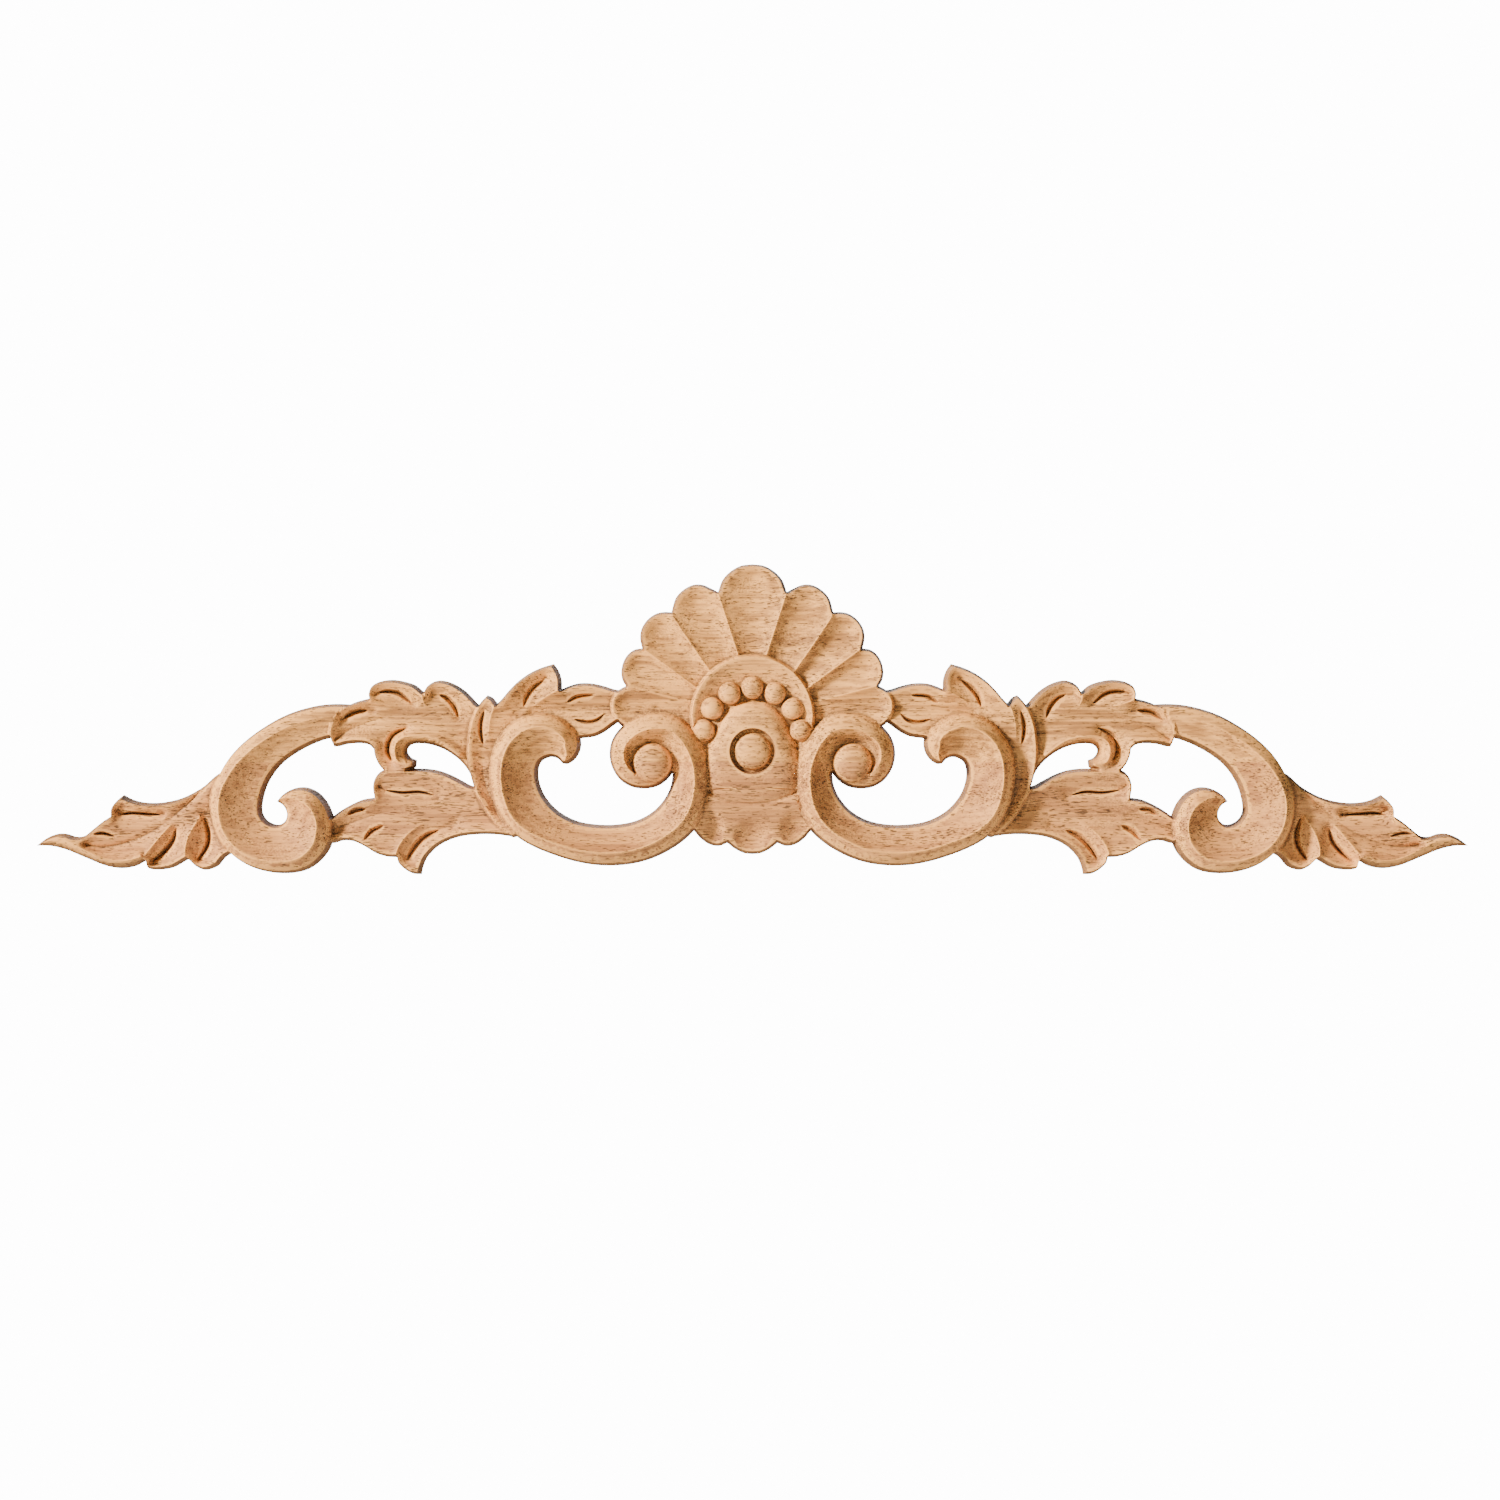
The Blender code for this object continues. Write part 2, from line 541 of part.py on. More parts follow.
def collar_leaf():
    """The leaf that wraps the inner scroll, from its foot up to the shell."""
    runs = [
        (None, [(-104, -38), (-105, -24), (-102, -10), (-94, -2), (-84, 0), (-76, -4), (-74, -9)]),
        (COLLAR_EDGE - 0.0015, [(-71.5, -8), (-66, -7.2), (-62, -5.4), (-58.5, -2.9), (-53, 1)]),
        (None, [(-53, 12)]),
        (COLLAR_EDGE - 0.0015, [(-57.5, 12.6), (-62, 14), (-67, 15.1), (-72, 15.2), (-76, 14.3),
            (-79.6, 12.8)]),
        (COLLAR_EDGE, [(-79.8, 16.8), (-81, 20.3), (-83, 23.3)]),
        (COLLAR_EDGE, [(-88, 21.8), (-93, 19.5), (-98, 16), (-102, 12), (-104.5, 9), (-106.6, 6.8)]),
        (COLLAR_EDGE - 0.001, [(-108.5, 9.1), (-110.8, 10.2)]),
        (COLLAR_EDGE - 0.001, [(-113.5, 7.4), (-116, 3.5), (-118, -2), (-119, -9), (-119.1, -16),
            (-118, -23), (-115.5, -31), (-111.5, -38.5), (-106.5, -44.5), (-100.5, -49.3), (-97, -48)]),
    ]
    ridges = [
        Line(COLLAR_EDGE - 0.001, [(-107, 6), (-109, 0), (-109.6, -7),
            (-108.5, -14)], COLLAR_HOLLOW + 0.0005),
        Line(COLLAR_EDGE, [(-80.2, 12.3), (-85.5, 9.5), (-90.5, 6)], COLLAR_HOLLOW + 0.001),
    ]
    veins = [
        Line(COLLAR_HOLLOW, [(-86, 17.2), (-91, 13.5), (-93.8, 9.5), (-96, 4),
            (-101, -2)], COLLAR_HOLLOW + 0.001),
        Line(COLLAR_HOLLOW, [(-92, 2.6), (-84, 3.3), (-76, 4), (-68, 4.8), (-56, 5.5)]),
        Line(COLLAR_HOLLOW + 0.001, [(-111.8, 3.6), (-113.2, -1.5), (-113, -6.5), (-112.4, -13),
            (-112.2, -20), (-110.5, -29), (-105.5, -38.5)], COLLAR_HOLLOW),
    ]
    gouges = [
        Gouge([(-95.2, 5.4), (-93.8, 9.6), (-91.2, 13), (-86.8, 16.4)], 1.4),
        Gouge([(-77.2, 7), (-72.8, 9.4), (-66, 10.1)], 1.1),
        Gouge([(-74.3, 0), (-69, -1.2), (-64.8, -0.4), (-61.6, 2.2)], 1),
        Gouge([(-111.6, 3.4), (-112.9, -1), (-113.1, -5.5), (-112.1, -10.3)], 1.2),
    ]
    return Form(runs, hollow(ridges, veins), curves(ridges + veins), gouges)


def shell():
    """Half of the fluted shell. The flutes narrow towards the dish."""
    runs = [
        (None, [(-44, -10), (-20, -6), (0, 0), (0, 65)]),
        (SHELL_EDGE, [(-5, 64.3), (-9.5, 61.7), (-12.6, 58.2), (-14.4, 53.4)]),
        (SHELL_EDGE, [(-17.5, 55), (-21, 56.4), (-25, 56.3), (-29, 54.2), (-32.2, 50.6), (-33.9, 44.9)]),
        (SHELL_EDGE, [(-37, 45), (-40.5, 44.2), (-44, 41.7), (-46.4, 38), (-47, 34), (-46.2, 29.8)]),
        (SHELL_EDGE, [(-49.4, 29.2), (-52.3, 27), (-54.2, 23.6), (-54.9, 19.8), (-54.4, 16.5), (-53, 14)]),
        (SHELL_EDGE, [(-56, 12.3), (-58.5, 9.4), (-59.4, 6), (-58.8, 2.4), (-57, -0.6), (-54.3, -3),
            (-50, -5)]),
    ]
    inner = SHELL_EDGE - 0.0010
    ridges = [
        Line(SHELL_EDGE, [(-14.4, 53), (-10.2, 40), (-6, 27)], inner),
        Line(SHELL_EDGE, [(-33.7, 44.4), (-32.6, 42), (-25, 30.6), (-17.6, 20)], inner),
        Line(SHELL_EDGE, [(-46.1, 29.8), (-44.6, 28.8), (-38, 24), (-31, 18.8), (-23, 12.8)], inner),
        Line(SHELL_EDGE, [(-52.8, 13.9), (-49.5, 13.2), (-42, 11.2), (-26, 7)], inner - 0.0015),
    ]
    foot = SHELL_HOLLOW + 0.0022
    axes = [
        Line(SHELL_HOLLOW, [(0, 57), (0, 26)], foot),
        Line(SHELL_HOLLOW, [(-23, 48.5), (-11, 24)], foot),
        Line(SHELL_HOLLOW, [(-38.6, 36.8), (-20, 16)], foot),
        Line(SHELL_HOLLOW, [(-47.2, 21.5), (-24, 10)], foot),
        Line(SHELL_HOLLOW, [(-52, 6), (-26, 2)], foot),
    ]
    return Form(runs, hollow(ridges, axes, 2.0, 0), curves(ridges + axes))


DISH_CENTRE, DISH_RADIUS = (0, 1), 26.3
BEAD_CENTRE, BEAD_RING, BEAD_RADIUS, BEAD_PITCH = (0, -7.4), 20.4, 4.9, 27.4
BOSS_CENTRE, BOSS_RADIUS, BOSS_GROOVE_RADIUS = (0, -13.3), 7.9, 9.6


def spooned(top, edge, reach, spoons):
    """A slope from a top height down to an edge height over a reach in Z, with spoon-shaped hollows.

    spoons lists (centre, half its width, half its height).
    """

    def surface(form, points):
        height = np.interp(points[:, 1], reach, (edge, top))
        for (x, z), across, up in spoons:
            out = ((points[:, 0] - x) / across) ** 2 + ((points[:, 1] - z) / up) ** 2
            height = height - SPOON_DEPTH * np.clip(1 - out, 0, 1) ** 1.5
        return height

    return surface


def ellipse(centre, across, up, first=0, last=360):
    return centre + (arc((0, 0), 1, first, last, 20) * (across, up))


SKIRT_SPOONS = [((0, -48.6), 8.8, 8.2), ((-18.8, -45.6), 8.3, 9.6)]


def skirt():
    """The small shell of three spoon-shaped lobes under the dome."""
    runs = [
        (None, [(-26, -30), (0, -28), (0, -56.4)]),
        (SKIRT_EDGE, [(-3.5, -56), (-7.3, -54.2), (-10.5, -51.7)]),
        (SKIRT_EDGE, [(-14, -53), (-18, -52.3), (-21.8, -49.7), (-24.5, -46.6), (-28, -44)]),
    ]
    middle, side = SKIRT_SPOONS
    lines = [ellipse(middle[0], middle[1] * share, middle[2] * share, 90, 270) for share in (0.5, 0.9)]
    lines += [ellipse(side[0], side[1] * share, side[2] * share) for share in (0.5, 0.9)]
    return Form(runs, spooned(SKIRT_TOP, SKIRT_EDGE, (-56.4, -36), SKIRT_SPOONS), lines)


def dish():
    ring = arc(DISH_CENTRE, DISH_RADIUS, 90, 180)
    runs = [
        (DISH_EDGE, [tuple(point) for point in ring[1:]] + [(-25.6, -6), (-25, -14)]),
        (None, [(-22, -24), (-10, -15), (0, -15), tuple(ring[0])]),
    ]
    low = Line(DISH_FLOOR, [tuple(point) for point in arc(BEAD_CENTRE, BEAD_RING - 2, 90, 185, 12)])
    return Form(runs, hollow([], [low], 1.4, 0.2), [low.curve])


def egg():
    """The domed middle of the cartouche, with the groove around its boss."""
    runs = [
        (None, [(0, 8.2)]),
        (DOME_EDGE, [(-6, 7), (-11.5, 3), (-15, -3), (-18.5, -10), (-21, -20), (-20.5, -29),
            (-17.5, -32.2)]),
        (DOME_FOOT, [(-12.5, -34.2), (-6, -35.8), (0, -36.3)]),
    ]
    return Form(runs, pillow(DOME_TOP, 11.0))


def disc(centre, radius, surface, lean_top, raised=False):
    """A round form on the mirror plane or clear of it."""
    if abs(centre[0]) < 1e-6:
        ring = [tuple(point) for point in arc(centre, radius, 90, 270)]
        ring[0], ring[-1] = (0, centre[1] + radius), (0, centre[1] - radius)
        runs = [(lean_top, ring[1:]), (None, [ring[0]])]
        spans = (90, 270)
    else:
        ring = [tuple(point) for point in arc(centre, radius, 0, 360, 40)]
        runs = [(lean_top, ring[1:])]
        spans = (0, 360)
    lines = [arc(centre, radius * share, *spans) for share in (0.55, 0.85)]
    return Form(runs, surface, lines, raised=raised, lean=STEP_LEAN)


def beads():
    found = []
    for index in range(4):
        angle = math.radians(90 + BEAD_PITCH * index)
        x = 0 if index == 0 else BEAD_RING * math.cos(angle)
        centre = (x, BEAD_CENTRE[1] + BEAD_RING * math.sin(angle))
        found.append(disc(centre, BEAD_RADIUS, dome(centre, BEAD_RADIUS, BEAD_TOP, BEAD_FOOT), BEAD_FOOT))
    return found


INNER_SCROLL_OUTER = [
    (-33.4, -22.6), (-36, -25.6), (-40, -28.1), (-45.2, -29), (-50.6, -28.2), (-55.4, -25.2),
        (-58.6, -20.3), (-59.8, -15),
    (-59.2, -10), (-57.2, -5.9), (-54, -2.4), (-50, 0.4), (-45, 2.4), (-40, 3), (-35, 2.6), (-30, 0.8),
        (-26, -2.5),
    (-22.5, -7), (-19.6, -13), (-17.9, -19), (-17.4, -26), (-18, -32), (-19.6, -38), (-22, -43),
        (-25, -47.2),
    (-29.5, -51.3), (-35.5, -55.2), (-42.5, -58.4), (-50, -60.4), (-58, -61.2), (-66, -60.9), (-74, -59.5),
    (-82, -57.1), (-90, -54), (-97, -50.2), (-102, -45.7), (-106, -39.7), (-108.6, -32), (-109.7, -24),
        (-109.1, -16),
    (-106.7, -9), (-103, -3.9), (-98, 0.1), (-92, 2.4), (-86, 2.6), (-80, 0.8), (-76, -1.7), (-73, -5),
        (-71.6, -9),
    (-72, -13), (-74, -16.5), (-77, -18.6), (-79.4, -18.5),
]
INNER_SCROLL_INNER = [
    (-79.4, -18.5), (-81.5, -16.4), (-84.5, -15.8), (-88, -17.5), (-89.4, -21), (-89.1, -26), (-87, -31.5),
    (-83, -36.6), (-78, -40.3), (-72, -42.8), (-65, -43.9), (-58, -44), (-51, -43), (-45, -40.7),
        (-40, -37.1),
    (-36.2, -32.3), (-34.1, -27.5), (-33.4, -22.6),
]
EYE_CENTRE, EYE_RADIUS = (-41.6, -18.2), 8.4


def inner_scroll():
    outer, inner = smooth(INNER_SCROLL_OUTER), smooth(INNER_SCROLL_INNER)
    rim = [(0, 0.3), (0.02, 5.5), (0.1, 6.2), (0.2, 7), (0.32, 6.6), (0.5, 5.8), (0.7, 5.2), (0.85, 6),
        (0.97, 6), (1, 0.5)]
    crest = [(0, 0.0105), (0.03, 0.0115), (0.06, 0.0135), (0.09, 0.015), (0.16, 0.016),
        (0.25, SCROLL_CREST), (0.93, SCROLL_CREST), (1, 0.0135)]
    runs = [(SCROLL_EDGE, INNER_SCROLL_OUTER[1:]), (SCROLL_FLOOR, INNER_SCROLL_INNER[1:])]
    lines = [run for share in (0.45, 1) for run in rim_line(outer, inner, rim, share)]
    floor = [(0, EYE_FLOOR), (0.17, EYE_FLOOR), (0.3, SCROLL_FLOOR), (1, SCROLL_FLOOR)]
    surface = scroll(outer, inner, rim, crest, SCROLL_EDGE, floor, (EYE_CENTRE, EYE_RADIUS))
    return Form(runs, surface, lines)


LEVEL = 1e3  # a dome with so large a radius is level


def carved_forms():
    """Every form of the left half, each carved over the ones before it."""
    found = [tail_leaf(), lower_leaf(), outer_scroll(), upper_leaf(), collar_leaf()]
    found += [shell(), skirt(), dish(), egg()] + beads()
    groove = dome(BOSS_CENTRE, LEVEL, BOSS_GROOVE, 0)
    found.append(disc(BOSS_CENTRE, BOSS_GROOVE_RADIUS, groove, BOSS_GROOVE))
    boss = dome(BOSS_CENTRE, BOSS_RADIUS, BOSS_TOP, BOSS_GROOVE)
    found.append(disc(BOSS_CENTRE, BOSS_RADIUS, boss, BOSS_GROOVE))
    found.append(inner_scroll())
    ball = dome(EYE_CENTRE, EYE_RADIUS, SCROLL_BALL, EYE_FLOOR)
    found.append(disc(EYE_CENTRE, EYE_RADIUS, ball, SCROLL_FLOOR, raised=True))
    return found


def relief_height(points, forms):
    """The height above the back at each point: each form covers what is under it, past its leaning wall."""
    points = np.minimum(points, [-MIRROR_REACH / 2, np.inf])
    height = np.zeros(len(points))
    for form in forms:
        rows = np.flatnonzero(form.covers(points))
        if not len(rows):
            continue
        share = np.clip(form.wall_distance(points[rows]) / form.lean, 0, 1)
        carved = height[rows] + (form.height(points[rows]) - height[rows]) * share
        height[rows] = np.maximum(height[rows], carved) if form.raised else carved
    return height


def mesh_lines(forms):
    """Each line that the mesh follows, without what a later form hides."""
    found = []
    for index, form in enumerate(forms):
        ring = np.vstack([form.ring, form.ring[:1]])
        lines = [ring] + [thinned(line, CURVE_ERROR, LINE_STEP) for line in form.lines() if len(line) > 1]
        for line in lines:
            shown = line[:, 0] <= 1e-6
            for later in forms[index + 1 :]:
                covered = later.covers(line)
                covered[covered] = later.wall_distance(line[covered]) > later.lean
                shown &= ~covered
            grown = shown.copy()
            grown[:-1] |= shown[1:]
            grown[1:] |= shown[:-1]
            grown &= line[:, 0] <= 1e-6
            found += stretches(line, grown)
    return found + [mirror_line(forms)]


def mirror_line(forms):
    """Places up the mirror plane: each foot and top of a wall that meets it, and even steps between."""
    ends = []
    for form in forms:
        for wall in form.walls:
            ends += [(z, form.lean) for x, z in wall.curve[[0, -1]] if abs(x) < 1e-6]
    low, high = min(ends)[0], max(ends)[0]
    marks = sorted({round(z + side * lean, 4) for z, lean in ends for side in (-1, 0, 1)})
    marks = [mark for mark in marks if low <= mark <= high]
    places = [low]
    for first, last in zip(marks, marks[1:]):
        places += list(np.linspace(first, last, 2 + int((last - first) / (LINE_STEP / 2)))[1:])
    return np.array([(0, z) for z in places])


def triangulated(points, edges, forms):
    """A constrained Delaunay mesh of the points and edges, kept where a form covers it.

    An edge that crosses the wood from rim to rim gets a point in its middle, so that the relief
    keeps clear of the back there.
    """
    points = list(points)
    while True:
        made = delaunay_2d_cdt([Vector(p) for p in points], edges, [], 0, 1e-4)
        flat = np.array([tuple(v) for v in made[0]])
        faces = np.array([face for face in made[2]])
        middle = flat[faces].mean(1)
        kept = np.zeros(len(faces), bool)
        for form in forms:
            kept |= inside(middle, form.ring)
        faces = faces[kept]
        border = border_edges(faces)
        rim = rim_points(flat, border)
        at_border = {frozenset(edge) for edge in border}
        crossing = set()
        for a, b, c in faces.tolist():
            for edge in (frozenset((a, b)), frozenset((b, c)), frozenset((c, a))):
                if edge <= rim and edge not in at_border:
                    crossing.add(edge)
        if not crossing:
            return flat, faces
        points += [tuple(flat[list(edge)].mean(0)) for edge in sorted(crossing, key=sorted)]


def rim_points(flat, border):
    """The points on the outline, those inside the mirror plane left out."""
    on_mirror = np.abs(flat[:, 0]) < 1e-6
    return {v for edge in border for v in edge if not (on_mirror[edge[0]] and on_mirror[edge[1]])}


def border_edges(faces):
    """The directed edges that only one face has."""
    directed = {}
    for a, b, c in faces.tolist():
        for edge in ((a, b), (b, c), (c, a)):
            directed[edge] = True
    return [edge for edge in directed if (edge[1], edge[0]) not in directed]


def carve():
    forms = carved_forms()
    points, edges = [], []
    for line in mesh_lines(forms):
        first = len(points)
        points += [tuple(point) for point in line]
        edges += [(first + i, first + i + 1) for i in range(len(line) - 1)]
    points = [(0.0, z) if x > -MIRROR_REACH else (x, z) for x, z in points]
    on_mirror = sorted((z, index) for index, (x, z) in enumerate(points) if x == 0)
    edges += [(low[1], high[1]) for low, high in zip(on_mirror, on_mirror[1:])]
    on_lines = np.array(points)
    rows = np.arange(-70, 70, FILL_STEP * math.sqrt(0.75))
    fill = [
        (x + (FILL_STEP / 2 if index % 2 else 0), z)
        for index, z in enumerate(rows)
        for x in np.arange(-302, -FILL_STEP / 3, FILL_STEP)
    ]
    fill = np.array(fill)
    covered = np.zeros(len(fill), bool)
    for form in forms:
        covered |= form.covers(fill)
    fill = fill[covered]
    near = np.array([np.hypot(*(on_lines - point).T).min() for point in fill])
    points += [tuple(point) for point in fill[near > 0.6 * FILL_STEP]]
    flat, faces = triangulated(points, edges, forms)
    height = relief_height(flat, forms)
    return flat, faces, height, forms


def applique():
    flat, faces, height, forms = carve()
    border = border_edges(faces)
    height[list(rim_points(flat, border))] = 0
    order = sorted({v for edge in border for v in edge})
    index = {v: i for i, v in enumerate(order)}
    back_edges = [(index[a], index[b]) for a, b in border]
    made = delaunay_2d_cdt([Vector(flat[v]) for v in order], back_edges, [], 0, 1e-6)
    back_flat = np.array([tuple(v) for v in made[0]])
    ring_start = flat[[a for a, b in border]]
    ring_end = flat[[b for a, b in border]]
    kept = [face for face in made[2] if in_border(back_flat[list(face)].mean(0), ring_start, ring_end)]

    mesh = bmesh.new()
    front = [mesh.verts.new((x * PLAN_UNIT, -h, z * PLAN_UNIT)) for (x, z), h in zip(flat, height)]
    for face in faces:
        mesh.faces.new([front[v] for v in face])
    back = [mesh.verts.new((x * PLAN_UNIT, 0, z * PLAN_UNIT)) for x, z in back_flat]
    for face in kept:
        mesh.faces.new([back[v] for v in reversed(face)])
    bmesh.ops.remove_doubles(mesh, verts=mesh.verts, dist=2e-6)
    loose = [v for v in mesh.verts if not v.link_faces]
    bmesh.ops.delete(mesh, geom=loose, context="VERTS")
    copy = bmesh.ops.duplicate(mesh, geom=mesh.verts[:] + mesh.edges[:] + mesh.faces[:])["geom"]
    for vertex in copy:
        if isinstance(vertex, bmesh.types.BMVert):
            vertex.co.x = -vertex.co.x
    bmesh.ops.reverse_faces(mesh, faces=[f for f in copy if isinstance(f, bmesh.types.BMFace)])
    seam = [v for v in mesh.verts if abs(v.co.x) < 1e-6]
    bmesh.ops.remove_doubles(mesh, verts=seam, dist=1e-6)
    data = bpy.data.meshes.new("crown_applique")
    mesh.to_mesh(data)
    mesh.free()
    return bpy.data.objects.new("crown_applique", data)


def in_border(point, start, end):
    """Whether a point lies inside the border's edges."""
    crosses = (start[:, 1] > point[1]) != (end[:, 1] > point[1])
    a, b = start[crosses], end[crosses]
    at = a[:, 0] + (point[1] - a[:, 1]) * (b[:, 0] - a[:, 0]) / (b[:, 1] - a[:, 1])
    return (at > point[0]).sum() % 2 == 1


def wood():
    material = bpy.data.materials.new("rubberwood")
    material.use_nodes = True
    shader = material.node_tree.nodes["Principled BSDF"]
    shader.inputs["Base Color"].default_value = (0.72, 0.45, 0.27, 1)
    shader.inputs["Roughness"].default_value = 0.7
    return material


def main():
    for old in list(bpy.data.objects):
        bpy.data.objects.remove(old)
    board = applique()
    board.data.materials.append(wood())
    bpy.context.scene.collection.objects.link(board)
    print("triangles", sum(len(p.vertices) - 2 for p in board.data.polygons))


main()
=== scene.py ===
# %% [markdown]
# # A carved crown applique
#
# The real thing is one board of pale wood, probably rubberwood, carved as a relief and pierced. It is taken
# to be 600 mm long and 17 mm thick.
# A fluted shell stands over a beaded cartouche, between two C-scrolls. Leaves, outer scrolls and pointed
# tail leaves follow on each side. The CAD model of it is loaded first, and hidden once the detailed
# carving is made.

import math

import bpy
import numpy as np
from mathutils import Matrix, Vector
from mathutils.geometry import delaunay_2d_cdt
from mathutils.kdtree import KDTree


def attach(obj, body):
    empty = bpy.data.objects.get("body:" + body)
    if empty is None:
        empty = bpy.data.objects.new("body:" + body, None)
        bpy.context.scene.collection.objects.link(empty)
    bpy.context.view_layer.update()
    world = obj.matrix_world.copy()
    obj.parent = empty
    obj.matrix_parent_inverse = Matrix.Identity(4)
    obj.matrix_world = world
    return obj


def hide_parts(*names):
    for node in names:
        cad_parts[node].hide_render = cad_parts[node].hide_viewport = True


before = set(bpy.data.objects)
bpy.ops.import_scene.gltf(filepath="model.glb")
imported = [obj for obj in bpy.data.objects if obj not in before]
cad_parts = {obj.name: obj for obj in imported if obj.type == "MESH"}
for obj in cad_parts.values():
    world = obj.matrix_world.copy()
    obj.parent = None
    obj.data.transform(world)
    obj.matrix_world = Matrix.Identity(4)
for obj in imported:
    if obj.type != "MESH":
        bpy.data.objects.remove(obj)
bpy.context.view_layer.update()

# %% [markdown]
# ## Why the carving is worked out as heights
#
# Such a relief could be sculpted, or put together from bevelled curves and Booleans. A sculpt can't be
# changed by a number, and Booleans between so many thin leaves give slivers at every crossing. The cutter
# of a carving machine comes straight down on the board, so the real surface is one height for each
# place on the board. The script does the same. Each form has an outline, a few ridges and veins drawn as
# smooth lines, and a rule that gives the height between them. A mesh then follows all those lines.
# The plan is drawn in millimetres for the left half, and mirrored.

# %% Sizes of the board
LENGTH = 0.600  # from tip to tip
PLAN_UNIT = LENGTH / 600
MIRROR_REACH = 0.05  # a point nearer to the mirror plane lies on it
print("board", LENGTH, "m long, one unit of the plan is", PLAN_UNIT, "m")

# %% [markdown]
# ## Lines of the plan
#
# A carver draws with a spline through a few points. The same is done here with a Catmull-Rom curve, which
# passes through its points, so a point can be read straight off the drawing. Distances to such a curve
# are all that the rules for the surfaces need.

# %% Smooth lines
SPAN_STEPS = 14  # points from one given point to the next


def smooth(points):
    """A Catmull-Rom curve through the points, sampled closely."""
    knots = np.array(points, float)
    if len(knots) < 3:
        return knots
    knots = np.vstack([2 * knots[0] - knots[1], knots, 2 * knots[-1] - knots[-2]])
    t = np.linspace(0, 1, SPAN_STEPS, endpoint=False)[:, None]
    spans = []
    for a, b, c, d in zip(knots, knots[1:], knots[2:], knots[3:]):
        bend = (2 * a - 5 * b + 4 * c - d) * t**2 + (3 * b - a - 3 * c + d) * t**3
        spans.append(0.5 * (2 * b + (c - a) * t + bend))
    return np.vstack(spans + [knots[-2:-1]])


def thinned(line, error, longest):
    """The fewest points of a line that keep it within an error, and no two further apart than longest."""
    keep = np.zeros(len(line), bool)
    keep[[0, -1]] = True
    pending = [(0, len(line) - 1)]
    while pending:
        first, last = pending.pop()
        if last - first < 2:
            continue
        chord = line[last] - line[first]
        length = math.hypot(*chord)
        offset = line[first + 1 : last] - line[first]
        if length > 1e-9:
            away = np.abs(chord[0] * offset[:, 1] - chord[1] * offset[:, 0]) / length
        else:
            away = np.hypot(offset[:, 0], offset[:, 1])
        worst = int(away.argmax())
        if away[worst] > error or length > longest:
            middle = first + 1 + worst if away[worst] > error else (first + last) // 2
            keep[middle] = True
            pending += [(first, middle), (middle, last)]
    return line[keep]


print("a bend through 4 points has", len(smooth([(0, 0), (5, 3), (10, 3), (15, 0)])), "points")


# %% Distances
def nearest(points, line):
    """The distance from each point to a line, and where along it the nearest place is, from 0 to 1."""
    start, step = line[:-1], np.diff(line, axis=0)
    length = np.hypot(step[:, 0], step[:, 1])
    begun = np.concatenate([[0], np.cumsum(length)[:-1]])
    distance = np.empty(len(points))
    along = np.empty(len(points))
    for first in range(0, len(points), 4000):
        rows = slice(first, first + 4000)
        offset = points[rows, None, :] - start[None]
        share = np.clip((offset * step).sum(2) / np.maximum(length**2, 1e-12), 0, 1)
        gap = offset - share[..., None] * step
        squared = (gap**2).sum(2)
        best = squared.argmin(1)
        index = np.arange(len(best))
        distance[rows] = np.sqrt(squared[index, best])
        along[rows] = (begun[best] + share[index, best] * length[best]) / length.sum()
    return distance, along


def inside(points, ring):
    """Which points lie in a closed ring."""
    x, z = points[:, 0], points[:, 1]
    within = np.zeros(len(points), bool)
    for (x0, z0), (x1, z1) in zip(ring, np.roll(ring, -1, axis=0)):
        if z0 == z1:
            continue
        crosses = (z0 > z) != (z1 > z)
        within ^= crosses & (x < x0 + (z - z0) * (x1 - x0) / (z1 - z0))
    return within


def arc(centre, radius, first, last, count=24):
    """Points on a circle between two angles in degrees."""
    angles = np.radians(np.linspace(first, last, count))
    return np.column_stack([centre[0] + radius * np.cos(angles), centre[1] + radius * np.sin(angles)])


print("a quarter circle has", len(arc((0, 0), 10, 0, 90)), "points")


# %% Parts and parallels of a line
def stretches(line, wanted):
    """The runs of consecutive wanted points of a line."""
    found, run = [], []
    for point, good in zip(line, wanted):
        if good:
            run.append(point)
        elif run:
            found.append(np.array(run))
            run = []
    if run:
        found.append(np.array(run))
    return [run for run in found if len(run) > 1]


def shifted(line, distance):
    """The stretches of a line's parallel on its left (right if negative) that stay clear of it."""
    along = np.gradient(line, axis=0)
    along /= np.maximum(np.hypot(along[:, 0], along[:, 1]), 1e-9)[:, None]
    moved = line + distance * np.column_stack([-along[:, 1], along[:, 0]])
    clear = nearest(moved, line)[0] > 0.985 * abs(distance)
    return stretches(moved, clear)


def place_along(line):
    """How far along a line each of its points is, from 0 to 1."""
    gone = np.concatenate([[0], np.cumsum(np.hypot(*np.diff(line, axis=0).T))])
    return gone / gone[-1]


print("a parallel 1 mm inside it has", len(shifted(arc((0, 0), 10, 0, 90), 1)[0]), "points")


# %% Ridges and veins
class Line:
    """A smooth line of the plan, with its height above the back at its two ends."""

    def __init__(self, height, points, end=None):
        self.curve = smooth(points)
        self.height = height
        self.end = height if end is None else end

    def height_at(self, along):
        return self.height + (self.end - self.height) * along

    def with_mirrored(self):
        """The line, and its mirror image too if it reaches the mirror plane at one end."""
        x = self.curve[:, 0]
        if x.max() < -MIRROR_REACH or x.min() > -MIRROR_REACH:
            return [self]
        other = Line(self.height, self.curve[[0, -1]], self.end)
        other.curve = self.curve * (-1, 1)
        return [self, other]


def curves(lines):
    return [line.curve for line in lines]


print("a line halfway from 4 mm to 10 mm is", Line(0.004, [(0, 0), (9, 0)], 0.010).height_at(0.5), "m high")

